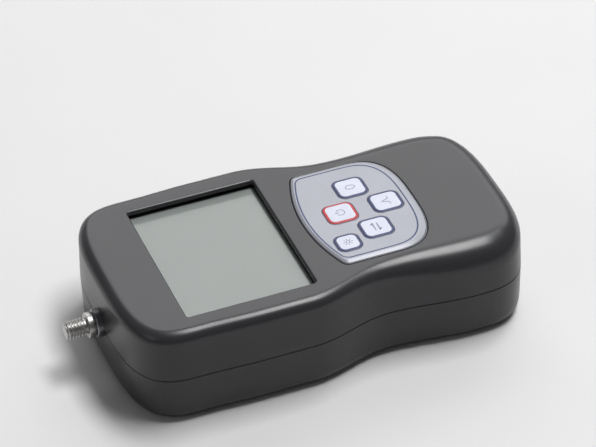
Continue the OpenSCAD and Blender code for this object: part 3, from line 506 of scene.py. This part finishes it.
def halfWidth(x):
    if x < wideFromX:
        width = blend(shell["shaftEndWidth"], shell["displayWidth"], progress(x, cornerX, wideFromX))
    elif x < waistX:
        width = blend(shell["displayWidth"], shell["waistWidth"], progress(x, wideToX, waistX))
    else:
        width = blend(shell["waistWidth"], shell["gripWidth"], progress(x, waistX, gripX))
    return width / 2


def superArc(power, steps):  # a quarter of a superellipse, from (1, 0) to (0, 1)
    for i in range(steps + 1):
        t = math.pi / 2 * i / steps
        yield max(math.cos(t), 0) ** (2 / power), math.sin(t) ** (2 / power)


def evenly(points, count):  # the same closed loop with evenly spaced points
    lengths = [0]
    for a, b in zip(points, points[1:] + points[:1]):
        lengths.append(lengths[-1] + math.dist(a, b))
    made = []
    k = 0
    for i in range(count):
        goal = lengths[-1] * i / count
        while lengths[k + 1] < goal:
            k += 1
        a, b = points[k], points[(k + 1) % len(points)]
        t = (goal - lengths[k]) / (lengths[k + 1] - lengths[k])
        made.append((a[0] + (b[0] - a[0]) * t, a[1] + (b[1] - a[1]) * t))
    return made


def housingOutline():
    half = [(gripX + (gripEnd - gripX) * c, shell["gripWidth"] / 2 * s)
            for c, s in superArc(shell["gripPower"], shell["arcSteps"])]
    for i in range(1, shell["sideSteps"]):
        x = gripX + (cornerX - gripX) * i / shell["sideSteps"]
        half.append((x, halfWidth(x)))
    far = [(cornerX + (shaftEnd - cornerX) * c, shell["shaftEndWidth"] / 2 * s)
           for c, s in superArc(shell["shaftPower"], shell["arcSteps"])]
    half += reversed(far)
    return evenly(half + [(x, -y) for x, y in reversed(half[1:-1])], shell["points"])


def normals(loop):  # unit vectors that point out of a loop
    made = []
    for i in range(len(loop)):
        a, b = loop[i - 1], loop[(i + 1) % len(loop)]
        made.append(Vector((b[1] - a[1], a[0] - b[0])).normalized())
    return made


outline = housingOutline()
outward = normals(outline)


def faceEdge(i):  # radius of the front's edge at a point of the outline
    x = outline[i][0]
    side = blend(shell["displayEdge"], shell["gripEdge"], progress(x, edgeGrowsX, gripX))
    return blend(side, shell["gripEndEdge"], outward[i][0] ** 2) if x > gripX else side


def shellRing(inset, height):  # inset and height as functions of the outline's point
    ring = []
    for i, (x, y) in enumerate(outline):
        d = inset(i)
        ring.append((x - outward[i][0] * d, y - outward[i][1] * d, height(i)))
    return ring


def shellRings(tall, radius, thick, angles, place):  # round the edge of a shell, thick millimetres inside it
    slope = math.tan(math.radians(shell["draft"]))
    rings = []
    for t in angles:
        rings.append(shellRing(
            lambda i: thick + (tall - radius(i)) * slope + (radius(i) - thick) * (1 - math.cos(t)),
            lambda i: place(tall - thick - (radius(i) - thick) * (1 - math.sin(t)))))
    return rings


def sideRings(tall, radius, place, steps=7):  # the drafted wall, from the seam to where the edge starts
    slope = math.tan(math.radians(shell["draft"]))
    seam = shell["seam"]
    rings = [shellRing(lambda i: seam, lambda i: place(0)), shellRing(lambda i: 0, lambda i: place(seam))]
    for k in range(1, steps):
        rings.append(shellRing(lambda i: (tall - radius(i)) * slope * k / steps,
                               lambda i: place((tall - radius(i)) * k / steps)))
    return rings


window = {"r": 0.8, "lap": 2, "lip": 1.4, "seat": 2.1, "soft": 0.75, "softSteps": 5}
opening = Extent("display_window", window["lap"])  # the pane without what lies under the housing
pad = {  # the keypad panel; pairs in its lists are outset and height
    "bulge": 58, "corner": 2.5, "round": 16, "power": 3, "gap": 0.25,
    "rim": 1.4, "rimShift": -0.5, "flange": 1.1, "seatGap": 0.02,
    "soft": 0.3, "softSteps": 4, "roundSteps": 48, "cornerSteps": 12, "bulgeSteps": 24,
    "line": 1.9, "lineWidth": 0.5, "lineShift": -0.7, "lineCorner": 5.2,
    "rimFoot": [(0, -0.05), (-0.04, 0.06), (-0.14, 0.13), (-0.3, 0.21)],
    "rimCrown": [(0.35, -0.16), (0.12, -0.055), (-0.06, -0.01), (-0.22, 0)],
    "keyEdge": [(0.18, 0), (0.05, -0.05), (0, -0.18)],
}
panel = Extent("keypad_panel", pad["flange"])  # the panel without its flange


def padLoop(grow, shift=0, corner=pad["corner"]):  # a round grip end, two corners and a bulging display end
    half, bulge, grip = panel.size[1] / 2, pad["bulge"], pad["round"]
    bulgeX = panel.low[0] + bulge
    roundX = panel.high[0] - grip
    turnY = half - corner
    turnX = bulgeX - math.sqrt((bulge - corner) ** 2 - turnY ** 2)
    spread = math.degrees(math.asin(turnY / (bulge - corner)))
    side = [(roundX + (grip + grow) * c, (half + grow) * s)
            for c, s in superArc(pad["power"], pad["roundSteps"])]
    for i in range(pad["cornerSteps"] + 1):
        t = math.radians(90 + (90 - spread) * i / pad["cornerSteps"])
        side.append((turnX + (corner + grow) * math.cos(t), turnY + (corner + grow) * math.sin(t)))
    for i in range(1, pad["bulgeSteps"] + 1):
        t = math.radians(180 - spread * (1 - i / pad["bulgeSteps"]))
        side.append((bulgeX + (bulge + grow) * math.cos(t), (bulge + grow) * math.sin(t)))
    return [(x + shift, y) for x, y in side + [(x, -y) for x, y in reversed(side[1:-1])]]


def windowLoop(grow):
    return rounded(*opening.size[:2], window["r"], grow, opening.middle[0])


def rods(places, steps=72):  # plain cutters, joined in one mesh: (profile, centre, axis)
    skin = Skin()
    for profile, centre, axis in places:
        turned(skin, profile, centre, axis, steps)
    return skin.mesh("rods")


def mirrored(*places):  # each place on both sides of the middle line
    return [(x, side * y) for x, y in places for side in (-1, 1)]


housingScrews = mirrored((-59.35, 20), (55.05, 19))
boardScrews = mirrored((-52.85, 25.6), (-0.65, 27.4), (42.05, 21.5))
standHoles = mirrored((-40, 24), (40, 24))
blockScrews = mirrored((-59.3, 12.2), (-10.5, 8.4), (-2.9, 8.4))  # of the stop, then the bracket
socketPosts = [(60.65, 0), (53.45, 0)]
bushHole = {"r": 4.6, "from": -3, "to": 4}
bushCut = ([(shaftEnd + bushHole[end], bushHole["r"]) for end in ("from", "to")], shaftLine, "x")
caseBoss = {"foot": split, "r": 3.6, "bore": 1.53, "mouth": 1.9, "lead": 0.4, "steps": 48}
boardBoss = {"foot": 26, "r": 2.5, "bore": 1.18, "mouth": 1.4, "lead": 0.3, "steps": 40}
bossSunk, boreSunk = 0.6, 0.5  # how far a boss and its bore reach into the wall
edgeAngles, innerAngles = quarter(18), quarter(8)[::-1]  # round a shell's edge outside, and back inside


def boss(skin, place, kind):  # a hollow post that hangs from the ceiling
    foot, r, bore = kind["foot"], kind["r"], kind["bore"]
    profile = [(foot, kind["mouth"]), (foot, r), (ceiling + bossSunk, r), (ceiling + boreSunk, bore),
               (foot + kind["lead"], bore)]
    turned(skin, profile, place, "z", kind["steps"], closed=True)


def softEdge(skin, loop, soft, steps, grow=0):  # rings down the rounded edge of an opening in the face
    rings = []
    for t in quarter(steps):
        rings.append(skin.ring(level(loop(grow + soft * (1 - math.sin(t))), top - soft * (1 - math.cos(t)))))
    return rings


def shellSkin(tall, radius, place):  # the outer and the inner face of a shell, joined at the parting line
    skin = Skin()
    wall = shell["wall"]
    outer = [skin.ring(r) for r in sideRings(tall, radius, place)]
    outer += [skin.ring(r) for r in shellRings(tall, radius, 0, edgeAngles, place)]
    inner = [skin.ring(r) for r in shellRings(tall, radius, wall, innerAngles, place)]
    inner.append(skin.ring(shellRing(lambda i: wall, lambda i: split)))
    skin.chain(outer)
    skin.chain(inner)
    skin.band(inner[-1], outer[0])
    return skin, outer[-1], inner[0]


def frontShell():
    skin, face, under = shellSkin(top - split, faceEdge, lambda h: split + h)
    lip = softEdge(skin, windowLoop, window["soft"], window["softSteps"])
    seat, step = window["seat"], top - window["lip"]
    for grow, z in ((0, step), (seat, step), (seat, ceiling)):
        lip.append(skin.ring(level(windowLoop(grow), z)))
    skin.chain(lip)
    hole = softEdge(skin, padLoop, pad["soft"], pad["softSteps"], pad["gap"])
    hole.append(skin.ring(level(padLoop(pad["gap"]), ceiling)))
    skin.chain(hole)
    skin.cap(face, [lip[0], hole[0]])
    skin.cap(under, [lip[-1], hole[-1]])
    bosses = Skin()
    for place in housingScrews:
        boss(bosses, place, caseBoss)
    for place in boardScrews:
        boss(bosses, place, boardBoss)
    mesh = carve(skin.mesh("frontShell"), bosses.mesh("bosses"), "UNION")
    mesh = carve(mesh, rods([bushCut]))
    piece("frontShell", mesh, [finishes["shell_paint"]], "housing", "shell_paint", "front_shell")


rear = {
    "postR": 3.6, "headR": 3.15, "headDepth": 7, "headEdge": 0.35, "flare": 0.05, "shankR": 1.7,
    "standR": 4.3, "standHeight": 7, "standEdge": 0.3, "insertR": 2.84, "insertDepth": 6,
    "seats": [(-62.65, -55.95, 15), (-20.3, 0.7, 12)], "seatHeight": 5,  # under the stop and the bracket
    "ribs": (6.35, 48.85), "ribY": 13.7, "ribHalf": 0.6, "ribHeight": 8.5,  # beside the battery
    "blockBore": 1.53, "blockBoreFrom": 1.3, "socketBore": 1.03, "socketBoreFrom": 1.4,
    "cone": 0.13, "coneLong": 0.15, "socketPostR": 2.2, "socketPostHeight": 4.5, "socketPostSteps": 48,
    "socketHoles": [(-8, 4.15), (8, 3.1)], "socketZ": 10.7, "socketFrom": 62,
    "socketEdge": 0.4, "socketEdgeDepth": 0.55,
}


def rearPosts(floor):
    skin = Skin()
    r = rear["postR"]
    for place in housingScrews:
        turned(skin, [(floor, r), (split, r)], place, "z")
    r, high, edge = rear["standR"], rear["standHeight"], rear["standEdge"]
    for place in standHoles:
        turned(skin, [(floor, r), (high - edge, r), (high, r - edge)], place, "z")
    r, high = rear["socketPostR"], rear["socketPostHeight"]
    for place in socketPosts:
        turned(skin, [(floor, r), (high, r)], place, "z", rear["socketPostSteps"])
    return skin.mesh("posts")


def rearBlocks(floor):  # the seats and the two ribs
    blocks = [(x0, x1, -wide, wide, rear["seatHeight"]) for x0, x1, wide in rear["seats"]]
    for side in (-1, 1):
        y = side * rear["ribY"]
        blocks.append((*rear["ribs"], y - rear["ribHalf"], y + rear["ribHalf"], rear["ribHeight"]))
    skin = Skin()
    for x0, x1, y0, y1, z in blocks:
        loop = [(x0, y0), (x1, y0), (x1, y1), (x0, y1)]
        skin.solid([skin.ring(level(loop, floor)), skin.ring(level(loop, z))])
    return skin.mesh("blocks")


def blindBore(start, r, end, place):  # a screw's bore with a cone at its end
    return [(start, r - rear["cone"]), (start + rear["coneLong"], r), (end, r)], place, "z"


def rearCuts():
    head, edge, shank, deep = rear["headR"], rear["headEdge"], rear["shankR"], rear["headDepth"]
    screw = [(-beyond, head + edge + rear["flare"]), (0, head + edge), (edge, head), (deep, head),
             (deep, shank), (split + beyond, shank)]
    insertHole = [(-beyond, rear["insertR"]), (rear["insertDepth"], rear["insertR"])]
    seatTop, postTop = rear["seatHeight"] + beyond, rear["socketPostHeight"] + beyond
    cuts = [bushCut]
    cuts += [(screw, place, "z") for place in housingScrews]
    cuts += [(insertHole, place, "z") for place in standHoles]
    cuts += [blindBore(rear["blockBoreFrom"], rear["blockBore"], seatTop, place) for place in blockScrews]
    cuts += [blindBore(rear["socketBoreFrom"], rear["socketBore"], postTop, place) for place in socketPosts]
    start, edge, edgeDepth = rear["socketFrom"], rear["socketEdge"], rear["socketEdgeDepth"]
    for y, r in rear["socketHoles"]:
        profile = [(start, r), (gripEnd - edgeDepth, r), (gripEnd, r + edge), (gripEnd + beyond, r + edge)]
        cuts.append((profile, (y, rear["socketZ"]), "x"))
    return rods(cuts)


def rearShell():
    skin, back, inside = shellSkin(split, lambda i: shell["backEdge"], lambda h: split - h)
    skin.cap(back)
    skin.cap(inside)
    floor = shell["wall"] - bossSunk
    mesh = carve(skin.mesh("rearShell"), rearPosts(floor), "UNION")
    mesh = carve(mesh, rearBlocks(floor), "UNION")
    mesh = carve(mesh, rearCuts())
    piece("rearShell", mesh, [finishes["shell_paint"]], "housing", "shell_paint", "rear_shell")


frontShell()
rearShell()
print("housing made")


# Keypad and keys

cap = {
    "r": 2.5, "gap": 0.2, "soft": 0.4, "softSteps": 6, "outlineWidth": 0.85,
    "skirt": 0.4, "skirtTop": 30.15, "skirtThick": 1, "stem": 1.6, "stemSteps": 40,
    "crownHeight": 0.12, "crownStep": 0.01,
    "crown": [(0.04, 0.03), (0.2, 0.06), (0.6, 0.08), (1.3, 0.1)],  # inset and rise of the domed middle
}
outlineInks = {"power": inkRed, "zero": inkBlue, "peak": inkBlue, "unit": inkBlue, "light": inkBlue}
keys = {name: Extent("key_" + name, cap["skirt"]) for name in outlineInks}  # each cap without its skirt


def capLoop(key, grow):
    return rounded(*key.size[:2], cap["r"], grow, *key.middle[:2])


def keypadPanel():
    skin = Skin()
    ink, shadowBand = 1, 2  # places in the list of materials
    rim, face = pad["rim"], panel.high[2]
    low, seat = panel.low[2], ceiling - pad["seatGap"]
    loops = [(pad["flange"], low), (pad["flange"], seat), (0, seat)]
    loops += [(grow, top + z) for grow, z in pad["rimFoot"]]
    loops += [(grow - rim, face + z) for grow, z in pad["rimCrown"]]
    rings = [skin.ring(level(padLoop(grow, pad["rimShift"] * min(0, grow) / -rim), z)) for grow, z in loops]
    dark = 5  # above this ring a painted shadow, a black band, goes round the panel's foot beside its gap to the housing
    skin.chain(rings[:dark + 1])
    # painted shadow of the gap round the panel
    skin.band(rings[dark], rings[dark + 1], shadowBand)
    skin.chain(rings[dark + 1:])
    line = [skin.ring(level(padLoop(-inset, pad["lineShift"], pad["lineCorner"]), face))
            for inset in (pad["line"], pad["line"] + pad["lineWidth"])]
    skin.cap(rings[-1], [line[0]])
    skin.band(line[0], line[1], ink)
    holes, under = [], []
    for key in keys.values():
        heights = [(grow, face + z) for grow, z in pad["keyEdge"]] + [(0, low)]
        edge = [skin.ring(level(capLoop(key, cap["gap"] + grow), z)) for grow, z in heights]
        skin.chain(edge)
        holes.append(edge[0])
        under.append(edge[-1])
    skin.cap(line[1], holes)
    skin.cap(rings[0], under)
    materials = [finishes["keypad_silver"], inkBlue, finishes["black_plastic"]]
    piece("keypadPanel", skin.mesh("keypadPanel"), materials,
          "housing", "keypad_silver", "keypad_panel", sharp=50)


def keyCap(name, key):
    skin = Skin()
    soft, band, skirt = cap["soft"], cap["outlineWidth"], cap["skirt"]
    foot = cap["skirtTop"] - cap["skirtThick"]
    shoulder = key.high[2] - cap["crownHeight"]
    loops = [(skirt, foot), (skirt, cap["skirtTop"]), (0, cap["skirtTop"])]
    for t in quarter(cap["softSteps"]):
        loops.append((-soft * (1 - math.cos(t)), shoulder - soft * (1 - math.sin(t))))
    loops.append((-band, shoulder + cap["crownStep"]))
    rings = [skin.ring(level(capLoop(key, grow), z)) for grow, z in loops]
    inked = 5  # the coloured outline starts at this ring, on the soft edge
    skin.chain(rings[:inked + 1])
    skin.chain(rings[inked:], 1)
    crown = [skin.ring(level(capLoop(key, -band - inset), shoulder + z)) for inset, z in cap["crown"]]
    skin.band(rings[-1], crown[0])
    skin.chain(crown)
    skin.cap(crown[-1])
    stemLoop = circle(*key.middle[:2], cap["stem"], cap["stemSteps"])
    stem = [skin.ring(level(stemLoop, z)) for z in (foot, key.low[2])]
    skin.cap(rings[0], [stem[0]])
    skin.band(stem[0], stem[1])
    skin.cap(stem[1])
    node = "key_" + name
    slot = "key_white_red" if name == "power" else "key_white"
    materials = [finishes["key_white"], outlineInks[name]]
    piece(name + "Cap", skin.mesh(name + "Cap"), materials, node, slot, node, sharp=40)


def arc(radius, start, end, squash=1, steps=28):
    turns = [math.radians(start + (end - start) * i / steps) for i in range(steps + 1)]
    return [(squash * radius * math.cos(t), radius * math.sin(t)) for t in turns]


def rays(count, near, far):
    turns = [math.tau * i / count for i in range(count)]
    return [[(r * math.cos(t), r * math.sin(t)) for r in (near, far)] for t in turns]


signs = {  # strokes seen with the shaft upwards: right, up
    "power": [arc(1.35, 125, 415), [(0, 0.35), (0, 1.85)]],
    "zero": [arc(1.5, 90, 449, squash=0.66)],
    "peak": [[(-2, -1), (-0.9, -1), (0, 1.3), (0.9, -1), (2, -1)]],
    "unit": [[(-1.9, 0.7), (1.9, 0.7), (1.1, 1.4)], [(1.9, -0.7), (-1.9, -0.7), (-1.1, -1.4)]],
    "light": [arc(0.62, 0, 359), *rays(8, 1.05, 1.55)],
}
sign = {"width": 0.3, "under": 0.004, "deep": 0.05, "mitre": 0.5}  # under: below the key's highest point


def keySign(name, key):
    skin = Skin()
    x, y, peak = key.middle[0], key.middle[1], key.high[2]
    high = peak - sign["under"]
    low = high - sign["deep"]
    for stroke in signs[name]:
        path = [Vector((x - v, y + u)) for u, v in stroke]
        rings = []
        for i, p in enumerate(path):
            ahead = (path[min(i + 1, len(path) - 1)] - path[max(i - 1, 0)]).normalized()
            mitre = 1
            if 0 < i < len(path) - 1:
                before, after = (p - path[i - 1]).normalized(), (path[i + 1] - p).normalized()
                mitre = 1 / max(sign["mitre"], math.cos(before.angle(after) / 2))
            side = Vector((-ahead[1], ahead[0])) * sign["width"] / 2 * mitre
            a, b = p - side, p + side
            rings.append(skin.ring([(*a, low), (*b, low), (*b, high), (*a, high)]))
        skin.solid(rings)
    piece(name + "Sign", skin.mesh(name + "Sign"), [inkPale], "key_" + name, "key_white")


keypadPanel()
for name, key in keys.items():
    keyCap(name, key)
    keySign(name, key)
print("keypad made")


# Measuring shaft, its bush and the stand inserts

rod = Extent("measuring_shaft")
shaft = {
    "tip": rod.low[0], "stubEnd": -71.65, "collarEnd": -69.65, "end": rod.high[0], "r": 3, "collar": 4.1,
    "pitch": 1, "deep": 0.54, "flank": 1.35, "crest": 0.15, "chamfer": 0.6, "relief": 0.8,
    "disc": (-60.3, -58.3), "discR": rod.high[1], "discEdge": 0.25, "edge": 0.3, "bend": 0.09, "endEdge": 0.4,
    "fillet": (0.15, 0.1), "around": 72, "perPitch": 16,
}


def threadRadius(x, turn):  # turn: how far round the shaft, 0 to 1; a groove ends the thread at the collar
    along = x - shaft["tip"]
    phase = (along / shaft["pitch"] - turn) % 1
    cut = min(1, max(0, abs(2 * phase - 1) * shaft["flank"] - shaft["crest"]))
    r = min(shaft["r"] - shaft["deep"] * cut, shaft["r"] - shaft["chamfer"] + x - shaft["tip"])
    return min(r, shaft["r"] - shaft["deep"]) if x > shaft["stubEnd"] - shaft["relief"] else r


def threadRings(skin):  # from the tip to the stub's end
    n, (y, z) = shaft["around"], shaftLine
    long = shaft["stubEnd"] - shaft["tip"]
    count = round(long / shaft["pitch"] * shaft["perPitch"])
    rings = []
    for k in range(count + 1):
        x = shaft["tip"] + long * k / count
        ring = []
        for i in range(n):
            t = math.tau * i / n
            r = threadRadius(x, i / n)
            ring.append((x, y + r * math.cos(t), z + r * math.sin(t)))
        rings.append(skin.ring(ring))
    return rings


def shaftProfile():  # place and radius, from the collar to the inner end
    stub, back, end = shaft["stubEnd"], shaft["collarEnd"], shaft["end"]
    r, collar, edge, bend = shaft["r"], shaft["collar"], shaft["edge"], shaft["bend"]
    (near, far), disc, discEdge = shaft["disc"], shaft["discR"], shaft["discEdge"]
    fillet, filletR = shaft["fillet"]
    return [
        (stub + hair, collar - edge), (stub + bend, collar - bend), (stub + edge, collar),
        (back - edge, collar), (back - bend, collar - bend), (back, collar - edge),
        (back + hair, r + filletR), (back + fillet, r),
        (near, r), (near + hair, disc - discEdge), (near + discEdge, disc),
        (far - discEdge, disc), (far, disc - discEdge), (far + hair, r),
        (end - shaft["endEdge"], r), (end, r - shaft["endEdge"]),
    ]


def measuringShaft():
    skin = Skin()
    rings = threadRings(skin)
    for x, radius in shaftProfile():
        rings.append(skin.ring([(x, u, v) for u, v in circle(*shaftLine, radius, shaft["around"])]))
    skin.solid(rings)
    piece("measuringShaft", skin.mesh("measuringShaft"), [finishes["shaft_steel"]],
          "shaft", "shaft_steel", "measuring_shaft", sharp=38)


sleeve = Extent("shaft_bush")
bush = {
    "neck": sleeve.low[0], "shoulder": -64.55, "end": sleeve.high[0], "steps": 80,
    "outer": 4.5, "flange": split - sleeve.low[2], "bore": 3.05,
    "edge": 0.2, "mouthEdge": 0.25, "boreEdge": 0.15, "neckEdge": [(0, -0.4), (0.1, -0.2), (0.35, 0)],
}


def shaftBush():
    skin = Skin()
    neck, shoulder, end = bush["neck"], bush["shoulder"], bush["end"]
    outer, flange, bore = bush["outer"], bush["flange"], bush["bore"]
    edge, mouth, boreEdge = bush["edge"], bush["mouthEdge"], bush["boreEdge"]
    profile = [(neck, bore + mouth)] + [(neck + x, outer + r) for x, r in bush["neckEdge"]]
    profile += [(shoulder, outer), (shoulder, flange - edge), (shoulder + edge, flange), (end - edge, flange),
                (end, flange - edge), (end, bore + boreEdge), (end - boreEdge, bore), (neck + mouth, bore)]
    turned(skin, profile, shaftLine, "x", bush["steps"], closed=True)
    piece("shaftBush", skin.mesh("shaftBush"), [finishes["bush_steel"]],
          "housing", "bush_steel", "shaft_bush")


insert = {
    "foot": 0.02, "top": Extent("stand_inserts").high[2], "outer": 2.8, "mouth": 2.35, "topBore": 2.2,
    "edge": 0.15, "topEdge": 0.1,
    "grooves": (1.2, 2.65, 4.1, 5.55), "groove": 2.55, "grooveHalf": 0.15,
    "root": 2.24, "crest": 2.02, "threadTop": 5.85, "threadLong": 5.5, "flanks": 28, "lead": (0.3, 2.05),
}


def standInserts():
    foot, high, outer, edge = insert["foot"], insert["top"], insert["outer"], insert["edge"]
    profile = [(foot, insert["mouth"]), (foot, outer - edge), (edge, outer)]
    half = insert["grooveHalf"]
    for z in insert["grooves"]:  # rings that grip the plastic
        profile += [(z - half, outer), (z, insert["groove"]), (z + half, outer)]
    edge = insert["topEdge"]
    profile += [(high - edge, outer), (high, outer - edge), (high, insert["topBore"])]
    for k in range(insert["flanks"]):  # the thread, seen from below as rings
        z = insert["threadTop"] - insert["threadLong"] * k / insert["flanks"]
        profile.append((z, insert["crest"] if k % 2 else insert["root"]))
    profile.append(insert["lead"])
    skin = Skin()
    for place in standHoles:
        turned(skin, profile, place, "z", closed=True)
    piece("standInserts", skin.mesh("standInserts"), [finishes["insert_brass"]],
          "housing", "insert_brass", "stand_inserts", sharp=50)


measuringShaft()
shaftBush()
standInserts()
print("shaft made")


# CAD pieces that stay: each gets its finish and slightly softened edges

soften = {"width": 0.07, "thin": 0.02, "angle": 34, "segments": 2}
thinPieces = {"window_tape", "battery_tabs", "strain_gauges", "battery_sleeve"}
cords = {"cell_cable", "battery_lead", "socket_lead"}  # already round


def dress(name, slot):
    node = frame["nodes"][name]
    node.data.materials.clear()
    node.data.materials.append(finishes[slot])
    if node.hide_render:  # replaced above
        return
    node.data.shade_smooth()
    if name not in cords:
        edge = node.modifiers.new("soften", "BEVEL")
        edge.width = (soften["thin"] if name in thinPieces else soften["width"]) * mm
        edge.segments = soften["segments"]
        edge.limit_method = "ANGLE"
        edge.angle_limit = math.radians(soften["angle"])
        edge.harden_normals = False
    evenShading(node)


for part in frame["record"]["subparts"]:
    dress(part["node"], part["material_slot"])
print("inner pieces dressed")


# Floor, light and camera

stage = {  # the floor turns up into the backdrop through a quarter circle
    "front": -2500, "bend": 1400, "radius": 900, "top": 3200, "side": 3500, "steps": 12,
    "shown": fromScreen(238, 238, 238), "bounced": fromScreen(150, 150, 150),
    "rough": 0.9, "specular": 0.2, "cloud": 60, "darkest": 0.98,
}


def stageFinish():  # rays to the eye and reflections meet the pale colour, light bounces off a darker one
    f = Finish("paleFloor", {
        "Roughness": stage["rough"], "IOR": 1.3, "Specular IOR Level": stage["specular"]})
    dark = tuple(v * stage["darkest"] for v in stage["shown"])
    f.set(color=f.mix(f.grade(f.noise(stage["cloud"], 3), 0, 1), stage["shown"], dark))
    paths = ("Is Camera Ray", "Is Glossy Ray", "Is Transmission Ray")
    direct, glossy, through = (f.add("ShaderNodeLightPath", output=path) for path in paths)
    seen = direct + glossy + through
    dim = f.add("ShaderNodeBsdfDiffuse", None, {"Color": stage["bounced"]})
    joined = f.add("ShaderNodeMixShader", None, {0: seen, 1: dim, 2: Wire(f, f.shader.outputs[0])})
    f.tree.links.new(joined.socket, f.tree.nodes["Material Output"].inputs["Surface"])
    return f.material


def stageFloor():
    skin = Skin()
    bend, radius, side = stage["bend"], stage["radius"], stage["side"]
    rows = [(stage["front"], 0), (bend, 0)]
    for t in quarter(stage["steps"])[1:]:
        rows.append((bend + radius * math.sin(t), radius * (1 - math.cos(t))))
    rows.append((bend + radius, stage["top"]))
    lines = [skin.ring([(-side, y, z), (side, y, z)]) for y, z in rows]
    for a, b in zip(lines, lines[1:]):
        skin.face((a[0], a[1], b[1], b[0]))
    made = inScene("floor", skin.mesh("floor"))
    made.data.materials.append(stageFinish())
    made.data.shade_smooth()


lamps = {  # place, aim and size in metres, then strength in watts
    "overhead": ((0.4, 0, 1.35), (0, 0, 0.03), (0.8, 0.36), 14.6),
    "behind": ((0.68, 1.5, 1.22), (0, 0, 0.03), (2.2, 1.3), 18.5),
    "left": ((-1.3, -0.3, 0.8), (0, 0, 0.03), (0.7, 0.7), 1),
}
skyStrength = 0.1


def light(name, place, aim, size, watts):
    lamp = bpy.data.lights.new(name, "AREA")
    lamp.shape = "RECTANGLE"
    lamp.size, lamp.size_y = size
    lamp.energy = watts
    made = inScene(name, lamp)
    made.location = place
    made.rotation_mode = "QUATERNION"
    made.rotation_quaternion = (Vector(aim) - Vector(place)).to_track_quat("-Z", "Y")


def sky():
    world = bpy.data.worlds.new("studio")
    world.use_nodes = True
    glow = world.node_tree.nodes["Background"]
    glow.inputs["Color"].default_value = (1, 1, 1, 1)
    glow.inputs["Strength"].default_value = skyStrength
    bpy.context.scene.world = world


view = {  # the photograph's camera: place in metres, axes, then the lens in the photograph's pixels
    "place": (-0.3001, -0.8073, 0.718),
    "right": (0.92451895, -0.38095333, -0.01180153), "forward": (0.29807345, 0.74198452, -0.60050912),
    "focal": 1768.3, "centre": (298, 223.5), "frameWidth": 596,
    "aim": (261.1, 271.15), "zoom": 2,  # here it turns to this pixel and comes this much closer
    "sensor": 36, "clip": (0.05, 50),
}


def camera():
    made = inScene("camera", bpy.data.cameras.new("camera"))
    bpy.context.scene.camera = made
    right, forward = Vector(view["right"]), Vector(view["forward"])
    down = forward.cross(right)
    across, along = ((view["aim"][i] - view["centre"][i]) / view["focal"] for i in (0, 1))
    forward = (forward + right * across + down * along).normalized()
    right = (right - forward * right.dot(forward)).normalized()
    down = forward.cross(right)
    turn = Matrix((right, -down, -forward)).transposed()
    made.matrix_world = Matrix.Translation(view["place"]) @ turn.to_4x4()
    made.data.sensor_width = view["sensor"]
    made.data.lens = view["sensor"] * view["focal"] * view["zoom"] / view["frameWidth"]
    made.data.clip_start, made.data.clip_end = view["clip"]


stageFloor()
for name, (place, aim, size, watts) in lamps.items():
    light(name, place, aim, size, watts)
sky()
camera()
bpy.context.scene.view_settings.view_transform = "Standard"
print("stage and camera made")
